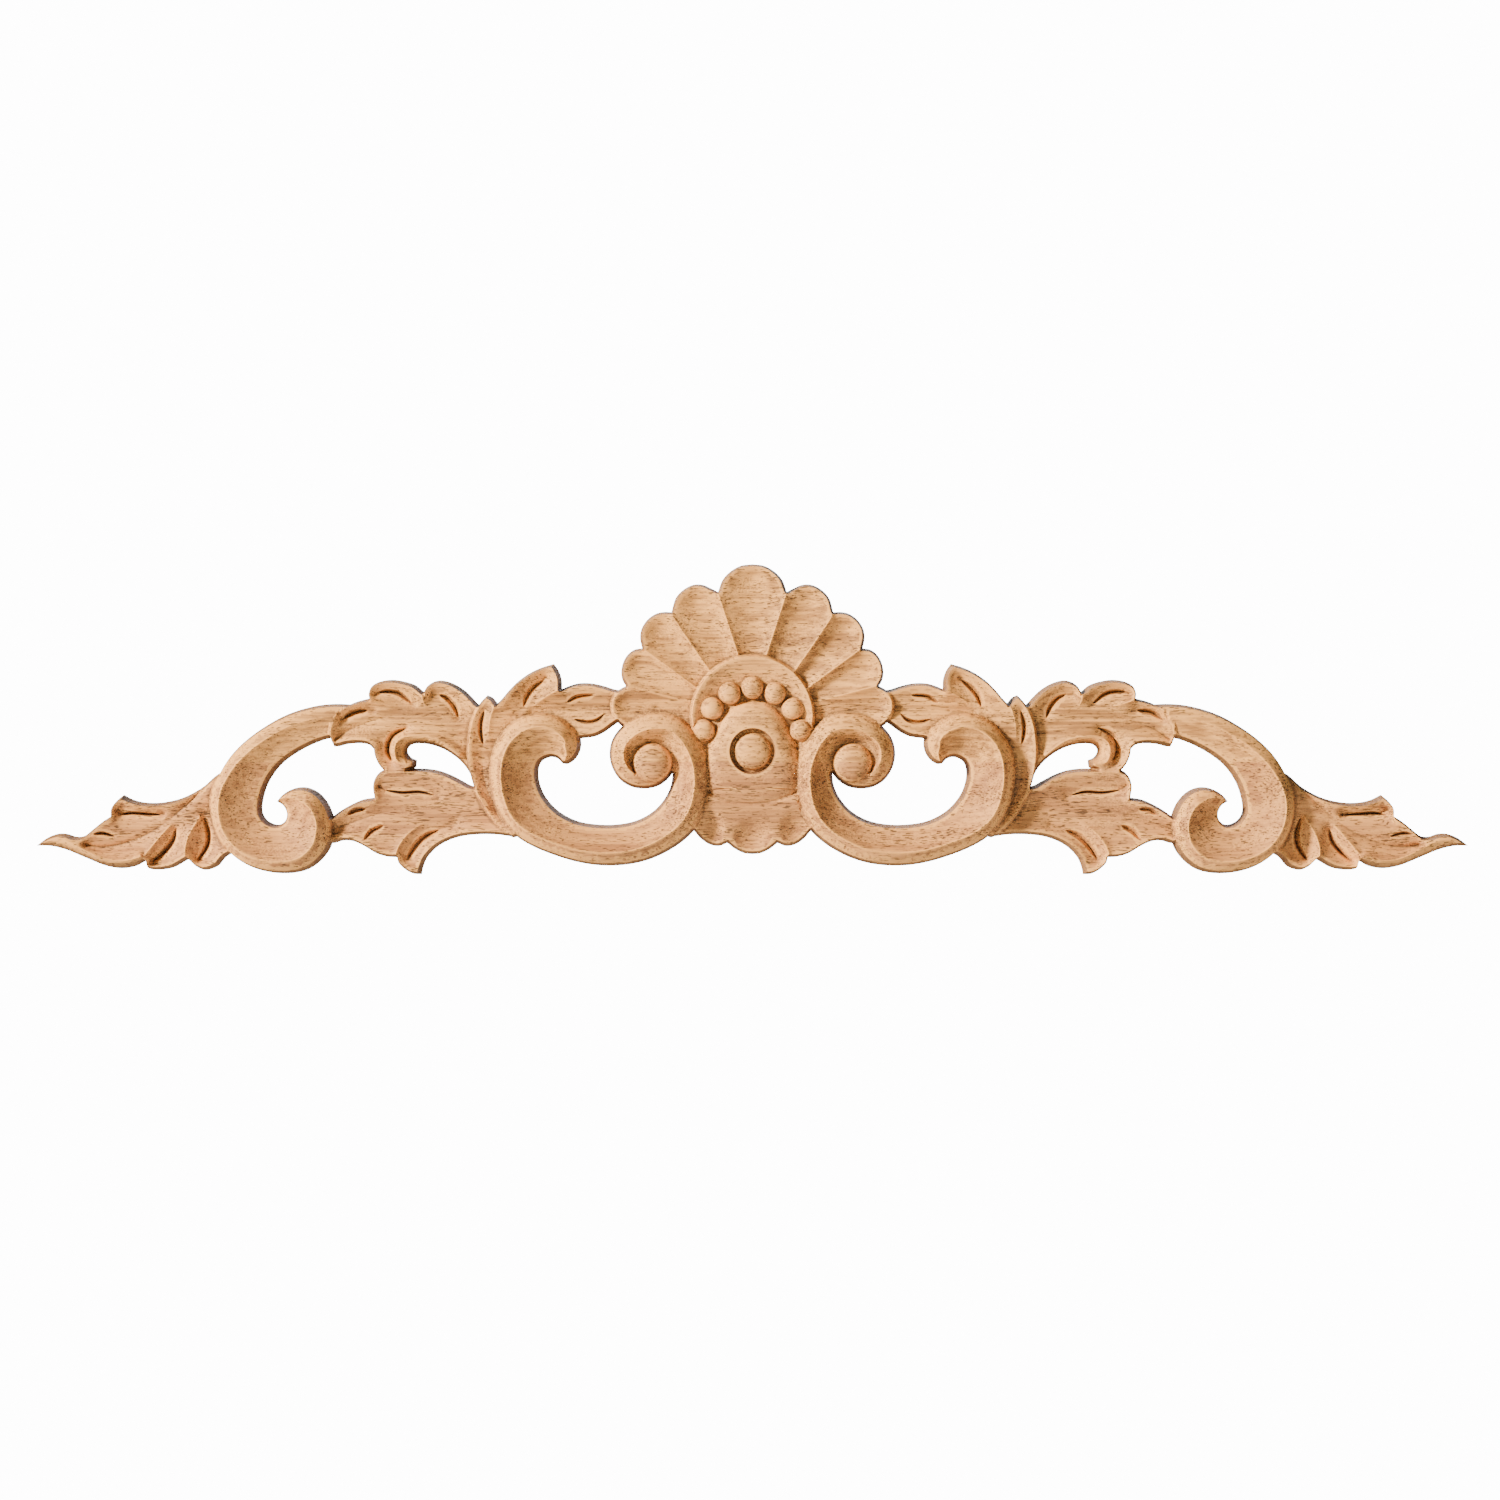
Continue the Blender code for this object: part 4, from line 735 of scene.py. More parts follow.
# %% Skirt
# A small shell of three lobes under the dome, each with a spoon-shaped hollow.
SKIRT_TOP = 0.0126
SKIRT_EDGE = 0.0085
SKIRT_SPOONS = [((0, -48.6), 8.8, 8.2), ((-18.8, -45.6), 8.3, 9.6)]
runs = [
    (None, [(-26, -30), (0, -28), (0, -56.4)]),
    (SKIRT_EDGE, [(-3.5, -56), (-7.3, -54.2), (-10.5, -51.7)]),
    (SKIRT_EDGE, [(-14, -53), (-18, -52.3), (-21.8, -49.7), (-24.5, -46.6), (-28, -44)]),
]
lines = []
for (centre, across, up), turn in zip(SKIRT_SPOONS, ((90, 270), (0, 360))):
    lines += [ellipse(centre, across * share, up * share, *turn) for share in (0.5, 0.9)]
carve("skirt", Form(runs, spooned(SKIRT_TOP, SKIRT_EDGE, (-56.4, -36), SKIRT_SPOONS), lines))

# %% Dished ring
DISH_CENTRE, DISH_RADIUS = (0, 1), 26.3
DISH_EDGE = 0.0130  # arris of the ring around the beads
DISH_FLOOR = 0.0080
BEAD_CENTRE, BEAD_RING = (0, -7.4), 20.4
ring = arc(DISH_CENTRE, DISH_RADIUS, 90, 180)
runs = [
    (DISH_EDGE, [*ring[1:], (-25.6, -6), (-25, -14)]),
    (None, [(-22, -24), (-10, -15), (0, -15), ring[0]]),
]
low = Line(DISH_FLOOR, arc(BEAD_CENTRE, BEAD_RING - 2, 90, 185, 12))
carve("dish", Form(runs, hollow([], [low], 1.4, 0.2), [low.curve]))

# %% Domed middle
DOME_TOP = 0.0145
DOME_EDGE = 0.0092
DOME_FOOT = 0.0115  # its lower end, a shallow groove against the skirt
runs = [
    (None, [(0, 8.2)]),
    (DOME_EDGE, [(-6, 7), (-11.5, 3), (-15, -3), (-18.5, -10), (-21, -20), (-20.5, -29), (-17.5, -32.2)]),
    (DOME_FOOT, [(-12.5, -34.2), (-6, -35.8), (0, -36.3)]),
]
carve("domed middle", Form(runs, pillow(DOME_TOP, 11.0)))

# %% Beads
BEAD_RADIUS, BEAD_PITCH = 4.9, 27.4
BEAD_TOP = 0.0135
BEAD_FOOT = 0.0090
for index in range(4):
    angle = math.radians(90 + BEAD_PITCH * index)
    x = 0 if index == 0 else BEAD_RING * math.cos(angle)
    centre = (x, BEAD_CENTRE[1] + BEAD_RING * math.sin(angle))
    bead = dome(centre, BEAD_RADIUS, BEAD_TOP, BEAD_FOOT)
    carve("bead", disc(centre, BEAD_RADIUS, bead, BEAD_FOOT))

# %% Boss in its groove
BOSS_CENTRE, BOSS_RADIUS, BOSS_GROOVE_RADIUS = (0, -13.3), 7.9, 9.6
BOSS_TOP = 0.0155
BOSS_GROOVE = 0.0115
groove = dome(BOSS_CENTRE, LEVEL, BOSS_GROOVE, 0)
carve("groove", disc(BOSS_CENTRE, BOSS_GROOVE_RADIUS, groove, BOSS_GROOVE))
boss = dome(BOSS_CENTRE, BOSS_RADIUS, BOSS_TOP, BOSS_GROOVE)
carve("boss", disc(BOSS_CENTRE, BOSS_RADIUS, boss, BOSS_GROOVE))

# %% Inner scroll
SCROLL_CREST = 0.0170  # its arris, the highest place of the relief
SCROLL_EDGE = 0.0095  # top of its outer wall
SCROLL_FLOOR = 0.0098  # bottom of its hollow
SCROLL_BALL = 0.0158  # top of the ball in its eye
EYE_FLOOR = 0.0108  # bottom of the hollow around the ball
EYE_CENTRE, EYE_RADIUS = (-41.6, -18.2), 8.4
INNER_SCROLL_OUTER = [
    (-33.4, -22.6), (-36, -25.6), (-40, -28.1), (-45.2, -29), (-50.6, -28.2), (-55.4, -25.2),
    (-58.6, -20.3), (-59.8, -15), (-59.2, -10), (-57.2, -5.9), (-54, -2.4), (-50, 0.4), (-45, 2.4),
    (-40, 3), (-35, 2.6), (-30, 0.8), (-26, -2.5), (-22.5, -7), (-19.6, -13), (-17.9, -19),
    (-17.4, -26), (-18, -32), (-19.6, -38), (-22, -43), (-25, -47.2), (-29.5, -51.3), (-35.5, -55.2),
    (-42.5, -58.4), (-50, -60.4), (-58, -61.2), (-66, -60.9), (-74, -59.5), (-82, -57.1), (-90, -54),
    (-97, -50.2), (-102, -45.7), (-106, -39.7), (-108.6, -32), (-109.7, -24), (-109.1, -16),
    (-106.7, -9), (-103, -3.9), (-98, 0.1), (-92, 2.4), (-86, 2.6), (-80, 0.8), (-76, -1.7), (-73, -5),
    (-71.6, -9), (-72, -13), (-74, -16.5), (-77, -18.6), (-79.4, -18.5),
]
INNER_SCROLL_INNER = [
    (-79.4, -18.5), (-81.5, -16.4), (-84.5, -15.8), (-88, -17.5), (-89.4, -21), (-89.1, -26),
    (-87, -31.5), (-83, -36.6), (-78, -40.3), (-72, -42.8), (-65, -43.9), (-58, -44), (-51, -43),
    (-45, -40.7), (-40, -37.1), (-36.2, -32.3), (-34.1, -27.5), (-33.4, -22.6),
]
outer, inner = smooth(INNER_SCROLL_OUTER), smooth(INNER_SCROLL_INNER)
rim = [(0, 0.3), (0.02, 5.5), (0.1, 6.2), (0.2, 7), (0.32, 6.6), (0.5, 5.8), (0.7, 5.2), (0.85, 6),
    (0.97, 6), (1, 0.5)]
crest = [(0, 0.0105), (0.03, 0.0115), (0.06, 0.0135), (0.09, 0.015), (0.16, 0.016), (0.25, SCROLL_CREST),
    (0.93, SCROLL_CREST), (1, 0.0135)]
runs = [(SCROLL_EDGE, INNER_SCROLL_OUTER[1:]), (SCROLL_FLOOR, INNER_SCROLL_INNER[1:])]
lines = [run for share in (0.45, 1) for run in rim_line(outer, inner, rim, share)]
floors = [(0, EYE_FLOOR), (0.17, EYE_FLOOR), (0.3, SCROLL_FLOOR), (1, SCROLL_FLOOR)]
surface = scroll(outer, inner, rim, crest, SCROLL_EDGE, floors, (EYE_CENTRE, EYE_RADIUS))
carve("inner scroll", Form(runs, surface, lines))
ball = dome(EYE_CENTRE, EYE_RADIUS, SCROLL_BALL, EYE_FLOOR)
carve("ball in its eye", disc(EYE_CENTRE, EYE_RADIUS, ball, SCROLL_FLOOR, raised=True))

# %% [markdown]
# ## From heights to a mesh
#
# A grid of square faces would step along every slanting arris. A constrained Delaunay triangulation
# takes the outlines, arrises, ridges and gouges as edges and fills the rest with even triangles, so the
# crisp lines stay crisp with far fewer faces.

# %% Height of the relief
EASED_EDGE = 0.00025  # sandpaper takes this much off every top edge


def relief_height(points, forms):
    """The height above the back at each point: each form covers what is under it, past its leaning wall."""
    eased = EASED_EDGE / PLAN_UNIT
    points = np.minimum(points, [-MIRROR_REACH / 2, np.inf])
    height = np.zeros(len(points))
    for form in forms:
        rows = np.flatnonzero(form.covers(points))
        if not len(rows):
            continue
        distance = form.wall_distance(points[rows])
        top = form.height(points[rows]) - EASED_EDGE * np.clip(1 - (distance - form.lean) / eased, 0, 1)
        carved = height[rows] + (top - height[rows]) * np.clip(distance / form.lean, 0, 1)
        height[rows] = np.maximum(height[rows], carved) if form.raised else carved
    return height


boss_height = relief_height(np.array([BOSS_CENTRE], float), forms)[0]
print("the boss is", round(boss_height * 1000, 2), "mm high in its middle")

# %% Lines that the mesh follows
def mirror_line(forms):
    """Places up the mirror plane: each foot and top of a wall that meets it, and even steps between."""
    ends = []
    for form in forms:
        for wall in form.walls:
            ends += [(z, form.lean) for x, z in wall.curve[[0, -1]] if abs(x) < 1e-6]
    low, high = min(ends)[0], max(ends)[0]
    marks = sorted({round(z + side * lean, 4) for z, lean in ends for side in (-1, 0, 1)})
    marks = [mark for mark in marks if low <= mark <= high]
    places = [low]
    for first, last in zip(marks, marks[1:]):
        places += list(np.linspace(first, last, 2 + int((last - first) / (LINE_STEP / 2)))[1:])
    return np.array([(0, z) for z in places])


def mesh_lines(forms):
    """Each line that the mesh follows, without what a later form hides."""
    found = []
    for index, form in enumerate(forms):
        ring = np.vstack([form.ring, form.ring[:1]])
        lines = [ring] + [thinned(line, CURVE_ERROR, LINE_STEP) for line in form.lines() if len(line) > 1]
        for line in lines:
            shown = line[:, 0] <= 1e-6
            for later in forms[index + 1 :]:
                covered = later.covers(line)
                covered[covered] = later.wall_distance(line[covered]) > later.lean
                shown &= ~covered
            grown = shown.copy()
            grown[:-1] |= shown[1:]
            grown[1:] |= shown[:-1]
            grown &= line[:, 0] <= 1e-6
            found += stretches(line, grown)
    return found + [mirror_line(forms)]


lines = mesh_lines(forms)
print(len(lines), "lines for the mesh to follow")

# %% Outline of a mesh
def border_edges(faces):
    """The directed edges that only one face has."""
    directed = {edge: True for a, b, c in faces.tolist() for edge in ((a, b), (b, c), (c, a))}
    return [edge for edge in directed if (edge[1], edge[0]) not in directed]


def rim_points(flat, border):
    """The points on the outline, those inside the mirror plane left out."""
    on_mirror = np.abs(flat[:, 0]) < 1e-6
    return {v for edge in border for v in edge if not (on_mirror[edge[0]] and on_mirror[edge[1]])}


print("one triangle has", len(border_edges(np.array([(0, 1, 2)]))), "border edges")

# %% Points and triangles between the lines
FILL_STEP = 0.92  # in units of the plan, the side of an even triangle
FILL_REACH, FILL_HEIGHT = 302, 70  # the fill is tried out to here, and kept where a form covers it


def triangulated(points, edges, forms):
    """A constrained Delaunay mesh of the points and edges, kept where a form covers it.

    An edge that crosses the wood from rim to rim gets a point in its middle, so that the relief
    keeps clear of the back there.
    """
    points = list(points)
    while True:
        made = delaunay_2d_cdt([Vector(p) for p in points], edges, [], 0, 1e-4)
        flat = np.array([tuple(v) for v in made[0]])
        faces = np.array(made[2])
        middle = flat[faces].mean(1)
        kept = np.zeros(len(faces), bool)
        for form in forms:
            kept |= inside(middle, form.ring)
        faces = faces[kept]
        border = border_edges(faces)
        rim = rim_points(flat, border)
        at_border = {frozenset(edge) for edge in border}
        crossing = set()
        for a, b, c in faces.tolist():
            for edge in (frozenset((a, b)), frozenset((b, c)), frozenset((c, a))):
                if edge <= rim and edge not in at_border:
                    crossing.add(edge)
        if not crossing:
            return flat, faces
        points += [tuple(flat[list(edge)].mean(0)) for edge in sorted(crossing, key=sorted)]


def plan_points(lines, forms):
    """Points and edges of the plan: every line, then an even fill that keeps clear of the lines."""
    points, edges = [], []
    for line in lines:
        first = len(points)
        points += [tuple(point) for point in line]
        edges += [(first + i, first + i + 1) for i in range(len(line) - 1)]
    points = [(0.0, z) if x > -MIRROR_REACH else (x, z) for x, z in points]
    on_mirror = sorted((z, index) for index, (x, z) in enumerate(points) if x == 0)
    edges += [(low[1], high[1]) for low, high in zip(on_mirror, on_mirror[1:])]
    tree = KDTree(len(points))
    for index, (x, z) in enumerate(points):
        tree.insert((x, z, 0), index)
    tree.balance()
    fill = []
    for index, z in enumerate(np.arange(-FILL_HEIGHT, FILL_HEIGHT, FILL_STEP * math.sqrt(0.75))):
        shift = FILL_STEP / 2 if index % 2 else 0
        fill += [(x + shift, z) for x in np.arange(-FILL_REACH, -FILL_STEP / 3, FILL_STEP)]
    fill = np.array(fill)
    covered = np.zeros(len(fill), bool)
    for form in forms:
        covered |= form.covers(fill)
    fill = [(x, z) for x, z in fill[covered].tolist() if tree.find((x, z, 0))[2] > 0.6 * FILL_STEP]
    print(len(points), "points on lines,", len(fill), "between them")
    return points + fill, edges


# %% Front of the left half
points, edges = plan_points(lines, forms)
flat, faces = triangulated(points, edges, forms)
height = relief_height(flat, forms)
border = border_edges(faces)
height[list(rim_points(flat, border))] = 0
print("front", len(flat), "vertices,", len(faces), "triangles, top", round(height.max() * 1000, 2), "mm")

# %% [markdown]
# ## Closing the back and mirroring
#
# The back is flat, so it only needs faces between the border's own points. Front and back are joined
# along the border, and a Mirror modifier makes the right half, as by hand.

# %% Back of the left half
def back_faces(flat, border):
    """Triangles that close the flat back, over the border's points."""
    order = sorted({v for edge in border for v in edge})
    index = {v: i for i, v in enumerate(order)}
    edges = [(index[a], index[b]) for a, b in border]
    made = delaunay_2d_cdt([Vector(flat[v]) for v in order], edges, [], 0, 1e-6)
    start, end = flat[[a for a, b in border]], flat[[b for a, b in border]]
    place = np.array([tuple(v) for v in made[0]])
    return place, [face for face in made[2] if in_border(place[list(face)].mean(0), start, end)]


def in_border(point, start, end):
    """Whether a point lies inside the border's edges."""
    crosses = (start[:, 1] > point[1]) != (end[:, 1] > point[1])
    a, b = start[crosses], end[crosses]
    at = a[:, 0] + (point[1] - a[:, 1]) * (b[:, 0] - a[:, 0]) / (b[:, 1] - a[:, 1])
    return (at > point[0]).sum() % 2 == 1


back_place, back = back_faces(flat, border)
print("back", len(back), "triangles")

# %% Mesh of the carving
data = bpy.data.meshes.new("carved_crown")
front_points = [(x * PLAN_UNIT, -h, z * PLAN_UNIT) for (x, z), h in zip(flat.tolist(), height.tolist())]
back_points = [(x * PLAN_UNIT, 0, z * PLAN_UNIT) for x, z in back_place.tolist()]
shift = len(front_points)
turned = [[shift + v for v in reversed(face)] for face in back]
data.from_pydata(front_points + back_points, [], faces.tolist() + turned)
carving = bpy.data.objects.new("carved_crown", data)
bpy.context.scene.collection.objects.link(carving)
bpy.ops.object.select_all(action="DESELECT")
carving.select_set(True)
bpy.context.view_layer.objects.active = carving
bpy.ops.object.mode_set(mode="EDIT")
bpy.ops.mesh.select_all(action="SELECT")
bpy.ops.mesh.remove_doubles(threshold=0.000002)
bpy.ops.mesh.delete_loose()
bpy.ops.object.mode_set(mode="OBJECT")
mirror = carving.modifiers.new("right_half", "MIRROR")
mirror.use_clip = True
mirror.merge_threshold = 0.00001
bpy.ops.object.modifier_apply(modifier=mirror.name)
print("carving", len(data.vertices), "vertices,", len(data.polygons), "triangles")

# %% [markdown]
# ## Sanding
#
# A hand with fine paper takes the sharpness off every arris. A Smooth modifier that only moves the points
# in depth does that. The walls and the back are left out with a vertex group.

# %% Sand the arrises
STEEP = 2.6  # rise over run of a wall's edges, which the paper doesn't reach
depth = np.array([-v.co.y for v in data.vertices])
ends = np.array([e.vertices[:] for e in data.edges])
steep = np.zeros(len(depth), bool)
run = np.array([v.co.xz for v in data.vertices])
rise = np.abs(depth[ends[:, 0]] - depth[ends[:, 1]])
reach = np.hypot(*(run[ends[:, 0]] - run[ends[:, 1]]).T)
for side in (0, 1):
    steep[ends[rise > STEEP * reach, side]] = True
sanded = carving.vertex_groups.new(name="sanded")
sanded.add([i for i in range(len(depth)) if depth[i] > 0.001 and not steep[i]], 1, "REPLACE")
paper = carving.modifiers.new("sandpaper", "SMOOTH")
paper.use_x = paper.use_z = False
paper.factor = 0.15
paper.iterations = 1
paper.vertex_group = "sanded"
bpy.ops.object.modifier_apply(modifier=paper.name)
bpy.ops.object.shade_smooth_by_angle(angle=math.radians(24))
print("sanded", int((~steep).sum()), "points")

# %% [markdown]
# ## How hollow each place is
#
# Torn fibres gather in the hollows, and the hollows are also darkened there as painted shade. The mesh
# carries
# how hollow each place is as an attribute: the mean height around a place, less its own. A second one, over
# the nearest points only, tells the arrises from the creases, for a painted highlight on the arrises and
# painted shade in the creases.

# %% Attributes for hollows and edges
HOLLOW_DROP = 0.0015  # how deep under its surroundings a place counts as fully hollow
EDGE_RISE = 0.0003


def spread(values, ends, rounds):
    """Values averaged with their neighbours, several times."""
    count = np.bincount(ends.ravel(), minlength=len(values)) + 1
    for _ in range(rounds):
        total = values + np.bincount(ends[:, 0], values[ends[:, 1]], len(values))
        total += np.bincount(ends[:, 1], values[ends[:, 0]], len(values))
        values = total / count
    return values


depth = np.array([-v.co.y for v in data.vertices])
ends = np.array([e.vertices[:] for e in data.edges])
hollow_amount = np.clip((spread(depth, ends, 24) - depth) / HOLLOW_DROP, -1, 1)
edge_amount = np.clip((depth - spread(depth, ends, 2)) / EDGE_RISE, -1, 1)
for name, values in (("hollow", hollow_amount), ("edge", edge_amount)):
    attribute = data.attributes.new(name, "FLOAT", "POINT")
    attribute.data.foreach_set("value", values)
    print(name, "from", values.min(), "to", values.max())

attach(carving, "root")
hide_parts("crown_applique")

# %% [markdown]
# ## Wood
#
# The wood is bare: pale tan, with a straight grain along its length, short dark pores, and soft growth
# layers that nearly follow the board's face. A wood texture could be painted on, but a carved
# surface cuts through the layers, so the pattern has to be solid. All of it is worked out from Object
# coordinates, in millimetres, so flutes show nested ovals and end grain shows dots, as in real wood.

# %% Shader maths as expressions
class Value:
    """A socket of the wood's node tree. Operators on it add Math nodes."""

    tree = None

    def __init__(self, socket):
        self.socket = socket

    @classmethod
    def node(cls, kind, out=0, settings=None, **values):
        """Adds a node, sets it up, and gives one of its outputs. The values i0, i1 go by socket number."""
        made = cls.tree.nodes.new(kind)
        for name, setting in (settings or {}).items():
            setattr(made, name, setting)
        for name, value in values.items():
            numbered = name[0] == "i" and name[1:].isdigit()
            key = int(name[1:]) if numbered else name.replace("_", " ")
            socket = made.inputs[key]
            if isinstance(value, Value):
                cls.tree.links.new(value.socket, socket)
            else:
                socket.default_value = value
        return cls(made.outputs[out])

    def maths(self, operation, *others):
        values = {f"i{n}": value for n, value in enumerate((self, *others))}
        return Value.node("ShaderNodeMath", settings={"operation": operation}, **values)

    def __add__(self, other):
        return self.maths("ADD", other)

    def __radd__(self, other):
        return self.maths("ADD", other)

    def __sub__(self, other):
        return self.maths("SUBTRACT", other)

    def __rsub__(self, other):
        return Value.node("ShaderNodeMath", settings={"operation": "SUBTRACT"}, i0=other, i1=self)

    def __mul__(self, other):
        return self.maths("MULTIPLY", other)

    def __rmul__(self, other):
        return self.maths("MULTIPLY", other)

    def __abs__(self):
        return self.maths("ABSOLUTE")

    def step(self, low, high):
        """0 below low and 1 above high, smooth between them."""
        return Value.node(
            "ShaderNodeMapRange",
            settings={"interpolation_type": "SMOOTHSTEP"},
            Value=self, From_Min=low, From_Max=high, To_Min=0.0, To_Max=1.0,
        )


def mixed(share, first, second):
    """Two colours mixed by a share."""
    return Value.node("ShaderNodeMix", 2, {"data_type": "RGBA"}, i0=share, i6=first, i7=second)


print("shader maths ready")

# %% Material of the board
wood = bpy.data.materials.new("bare_rubberwood")
wood.use_nodes = True
Value.tree = wood.node_tree
shader = wood.node_tree.nodes["Principled BSDF"]
place = Value.node("ShaderNodeTexCoord", out="Object")
axes = {name: Value.node("ShaderNodeSeparateXYZ", out=name, Vector=place) * 1000 for name in "XYZ"}


def board_noise(scales, detail=2.0, roughness=0.5, offset=(0, 0, 0)):
    """Noise in the solid board. scales are how many patches there are in a millimetre along X, Y and Z."""
    scales = [1000 * scale for scale in scales]
    stretched = Value.node("ShaderNodeMapping", Vector=place, Location=offset, Scale=scales)
    return Value.node("ShaderNodeTexNoise", Vector=stretched, Scale=1.0, Detail=detail, Roughness=roughness)


print("material", wood.name)

# %% [markdown]
# ## Growth layers, fibres and pores
#
# The growth layers lie nearly in the board's face and wander, so they are bands of a tilted distance with
# a slow noise added. The fibres are a noise drawn out nearly thirty times along the grain. The pores are
# short dark dashes: a finer stretched noise of which only the peaks are kept.

# %% Growth layers
wander = board_noise((0.008, 0.05, 0.05))
layer_place = axes["Y"] * 0.55 + axes["Z"] * 0.16 + axes["X"] * 0.012 + wander * 9.0
layers = (layer_place * 2.6).maths("SINE") * 0.5 + 0.5
print("a growth layer every", round(math.tau / 2.6 / 0.55, 1), "mm of depth")

# %% Strips that the board is glued up from
GLUE_JOINT = -17.8  # height of the joint that shows across the scrolls and the dome, in mm
lower_strip = 1 - axes["Z"].step(GLUE_JOINT - 0.15, GLUE_JOINT + 0.15)
print("glue joint at", GLUE_JOINT, "mm")

# %% Fibres and pores
fibres = board_noise((0.035, 0.9, 1.0), detail=4.0, roughness=0.65)
streaks = board_noise((0.012, 0.5, 0.55), offset=(4, 8, 5))
broad = board_noise((0.008, 0.09, 0.09), offset=(3, 1, 7))
pore_noise = board_noise((0.26, 1.8, 2.1), detail=1.5, offset=(11, 5, 2))
pore_patches = board_noise((0.02, 0.12, 0.12), detail=1.0, offset=(1, 9, 4))
pores = (pore_noise + (pore_patches - 0.5) * 0.25 + lower_strip * 0.02).step(0.62, 0.70)
print("layers, fibres and pores made")

# %% [markdown]
# ## Torn fibres
#
# Where the cutter crossed the grain it left a fuzz: speckles that are darker and stand up a little. They
# lie in patches, mostly in the hollows and on faces that look along the board.

# %% Fuzz
normal = Value.node("ShaderNodeNewGeometry", out="Normal")
across = abs(Value.node("ShaderNodeSeparateXYZ", out="X", Vector=normal))
facing = abs(Value.node("ShaderNodeSeparateXYZ", out="Y", Vector=normal))
hollows = Value.node("ShaderNodeAttribute", out="Fac", settings={"attribute_name": "hollow"})
edges_seen = Value.node("ShaderNodeAttribute", out="Fac", settings={"attribute_name": "edge"})
speckle = board_noise((1.1, 1.4, 1.5), detail=1.5, roughness=0.6, offset=(7, 3, 1))
patches = board_noise((0.05, 0.1, 0.1), offset=(2, 6, 3))
fuzz_area = (patches + across * 0.15 + hollows * 0.1).step(0.48, 0.72)
fuzz = speckle.step(0.52, 0.62) * fuzz_area
tufts = 1 - speckle.step(0.4, 0.48)
print("fuzz between the pores made")

# %% Hairline
# A fine split crosses the foot of the left flutes.
SPLIT_HEIGHT, SPLIT_LEFT, SPLIT_RIGHT = 18.8, -43.5, -7.5
split_place = axes["Z"] - (axes["X"] * 0.12).maths("SINE") * 0.9 - SPLIT_HEIGHT
split_start, split_end = axes["X"].step(SPLIT_LEFT, -42), axes["X"].step(-9, SPLIT_RIGHT)
split = (1 - abs(split_place).step(0.08, 0.22)) * split_start * (1 - split_end)
print("split", SPLIT_RIGHT - SPLIT_LEFT, "mm long")

# %% [markdown]
# ## Colours
#
# The colours are those of the lit wood in the photograph with the light taken out: a warm tan, a pale cream
# in the grain, and a pinkish brown in the pores. Light and shade are then painted on: a painted highlight of
# cream along the arrises, painted shade of brown in the hollows and on the side walls, and of near black in
# the creases.

# %% Base colour
tan = (0.38, 0.178, 0.054, 1)
cream = (0.98, 0.51, 0.15, 1)
pink = (0.47, 0.195, 0.085, 1)
brown = (0.20, 0.105, 0.055, 1)
dark = (0.045, 0.028, 0.018, 1)
grain = (broad * 0.9 + fibres * 1.1 + streaks * 1.1 + layers * 0.14 - 1.12).step(0.1, 0.85)
base = mixed(grain, tan, cream)
base = mixed(lower_strip * 0.4, base, pink)
base = mixed((1 - fibres).step(0.5, 0.75) * 0.4, base, brown)
# Painted shade: the hollows are mixed a little towards brown.
base = mixed(hollows.step(0.3, 1.0) * 0.12, base, brown)
# Painted highlight: the arrises are mixed towards cream.
base = mixed(edges_seen.step(0.3, 0.9) * 0.85, base, cream)
# Painted shade: the creases, where the edge attribute is below zero, are mixed towards near black.
base = mixed((edges_seen * -1).step(0.3, 1.0) * 0.5, base, dark)
base = mixed(fuzz_area * tufts * 0.4, base, cream)
base = mixed(fuzz * 0.32, base, brown)
base = mixed(pores * 0.8, base, dark)
base = mixed(split * 0.7, base, dark)
# Painted shade: faces steep to the board's face, the side walls, are mixed towards brown.
base = mixed((1 - facing.step(0.12, 0.5)) * 0.7, base, brown)
wood.node_tree.links.new(base.socket, shader.inputs["Base Color"])
print("base colour from", tan[:3], "to", cream[:3])

# %% Roughness and bump
roughness = 0.64 + fuzz * 0.2 + pores * 0.1
wood.node_tree.links.new(roughness.socket, shader.inputs["Roughness"])
relief = fibres * 0.25 - speckle * fuzz_area * 0.7 - pores * 0.6
bump = Value.node("ShaderNodeBump", Strength=1.0, Distance=0.0005, Height=relief)
wood.node_tree.links.new(bump.socket, shader.inputs["Normal"])
shader.inputs["Specular IOR Level"].default_value = 0.3
data.materials.append(wood)
print("wood on", carving.name)

# %% [markdown]
# ## Studio
#
# The photograph has a white surround and a soft light from the upper left. The camera stands square in
# front, well back with a long lens. The world is bright for the camera only, so that the surround
# is white while the light that fills the hollows stays low. A weak lamp behind lights the back.

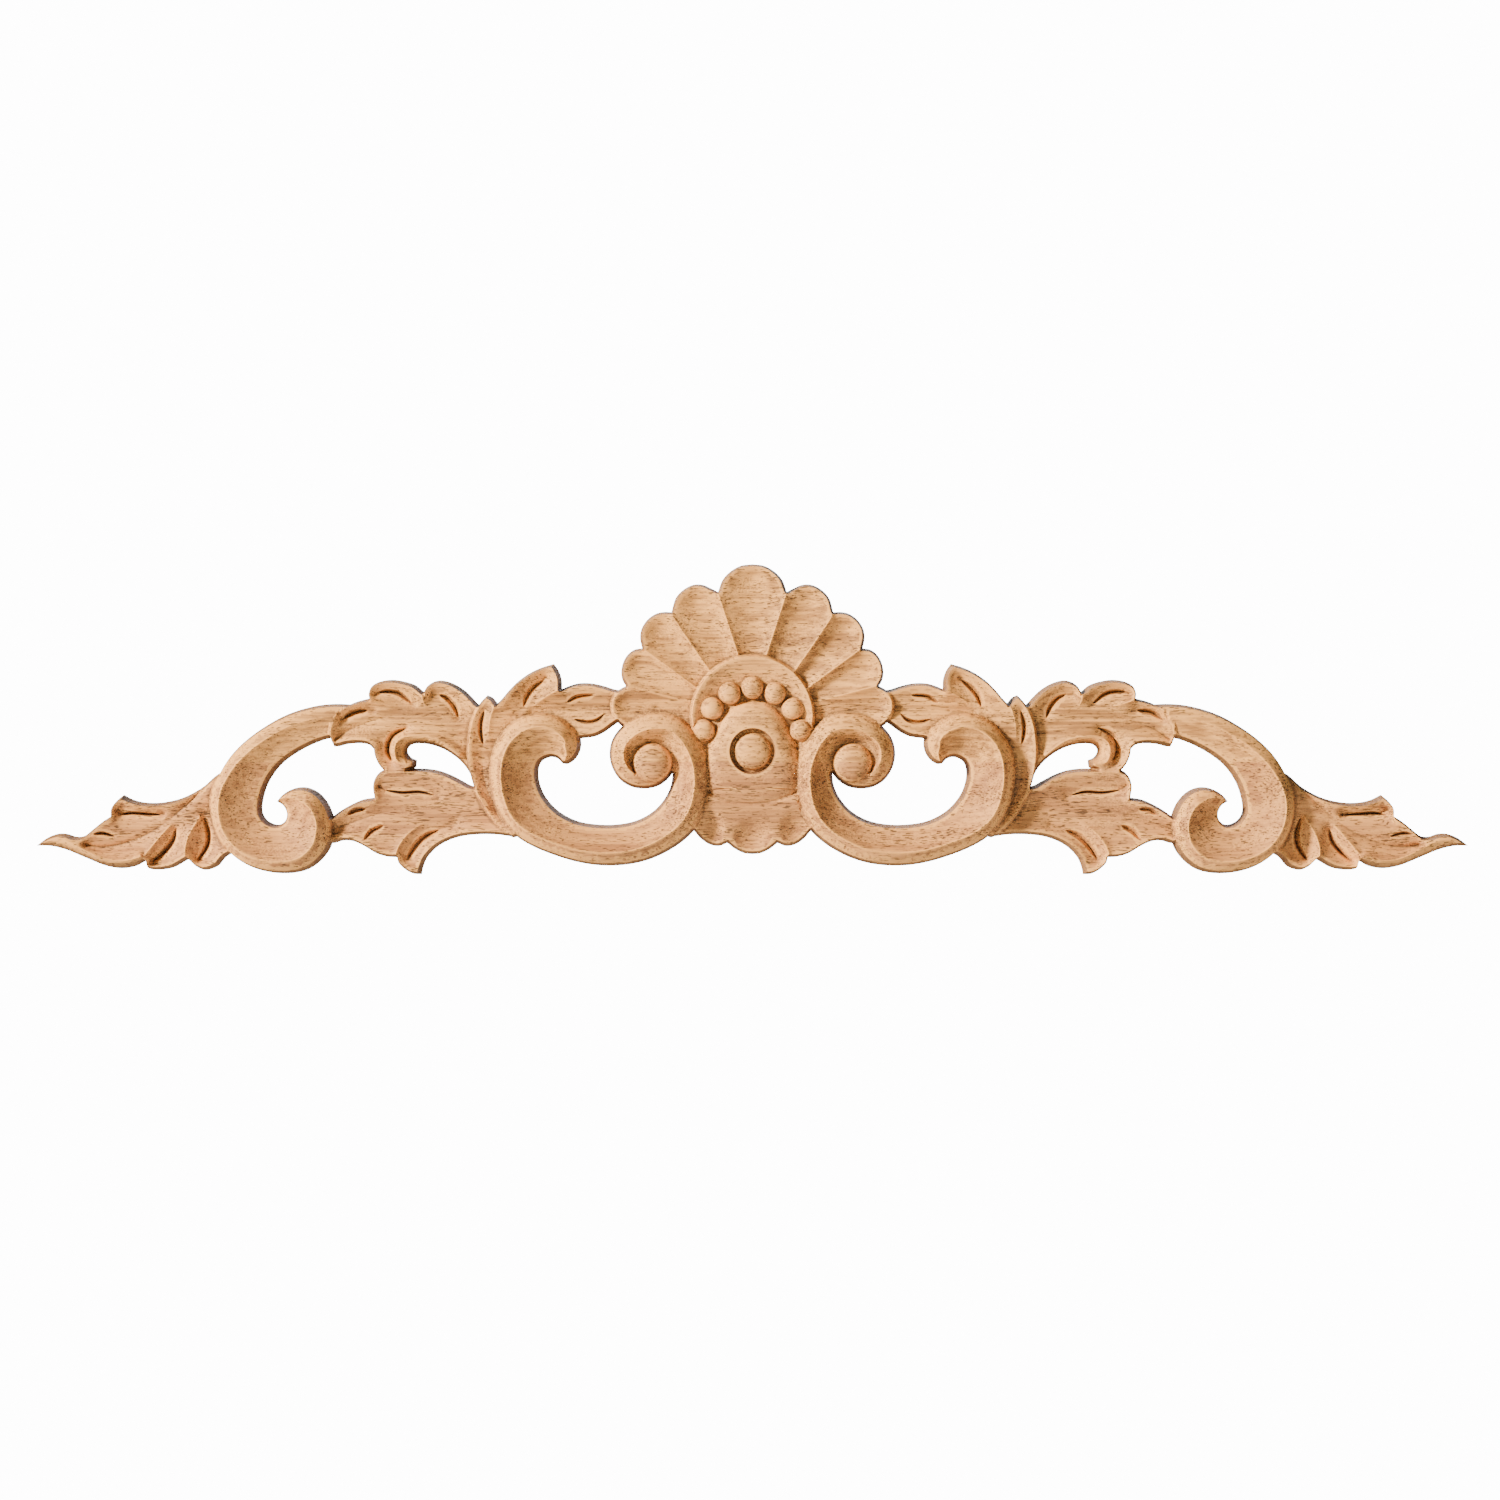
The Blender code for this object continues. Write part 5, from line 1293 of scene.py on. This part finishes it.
# %% Floor
bpy.ops.mesh.primitive_plane_add(size=2, location=(0, -0.87, -0.36))
floor = bpy.context.active_object
floor.name = "floor"
paint = bpy.data.materials.new("pale_floor")
paint.use_nodes = True
paint_shader = paint.node_tree.nodes["Principled BSDF"]
paint_shader.inputs["Base Color"].default_value = (0.93, 0.93, 0.93, 1)
paint_shader.inputs["Roughness"].default_value = 0.9
floor.data.materials.append(paint)
print("floor at", round(floor.location.z, 2), "m")

# %% World
SURROUND = 14.0  # brightness that the camera sees behind the carving
AMBIENT = 0.06  # brightness that lights it
world = bpy.data.worlds.new("studio")
world.use_nodes = True
bpy.context.scene.world = world
Value.tree = world.node_tree
sky = world.node_tree.nodes["Background"]
sky.inputs["Color"].default_value = (1, 1, 1, 1)
seen = Value.node("ShaderNodeLightPath", out="Is Camera Ray")
world.node_tree.links.new((seen * SURROUND + AMBIENT).socket, sky.inputs["Strength"])
print("surround", SURROUND, "ambient", AMBIENT)

# %% Lights
def softbox(name, place, size, power, tint=(1, 1, 1)):
    """A square area light that faces the middle of the carving."""
    bpy.ops.object.light_add(type="AREA", location=place)
    lamp = bpy.context.active_object
    lamp.name = name
    lamp.data.size = size
    lamp.data.energy = power
    lamp.data.color = tint
    lamp.rotation_euler = Vector(place).to_track_quat("Z", "Y").to_euler()
    print(name, "light of", power, "W,", round(Vector(place).length, 1), "m away")


WARM = (1.0, 0.84, 0.68)
softbox("key", (-4.8, -2.9, 2.3), 0.8, 1200, WARM)
softbox("fill", (2.5, -4.5, 1.0), 2.5, 26)
softbox("rear", (0, 4.5, 0.8), 2.5, 130)

# %% Camera
FRAME_WIDTH = 0.6262  # what the photograph's width spans at the carving
LENS, SENSOR = 85, 36
distance = FRAME_WIDTH * LENS / SENSOR
stand = (-0.001, -distance - 0.004, -0.0128)
bpy.ops.object.camera_add(location=stand, rotation=(math.radians(90), 0, 0))
camera = bpy.context.active_object
camera.data.lens = LENS
camera.data.sensor_width = SENSOR
bpy.context.scene.camera = camera
print("camera", round(distance, 3), "m away")
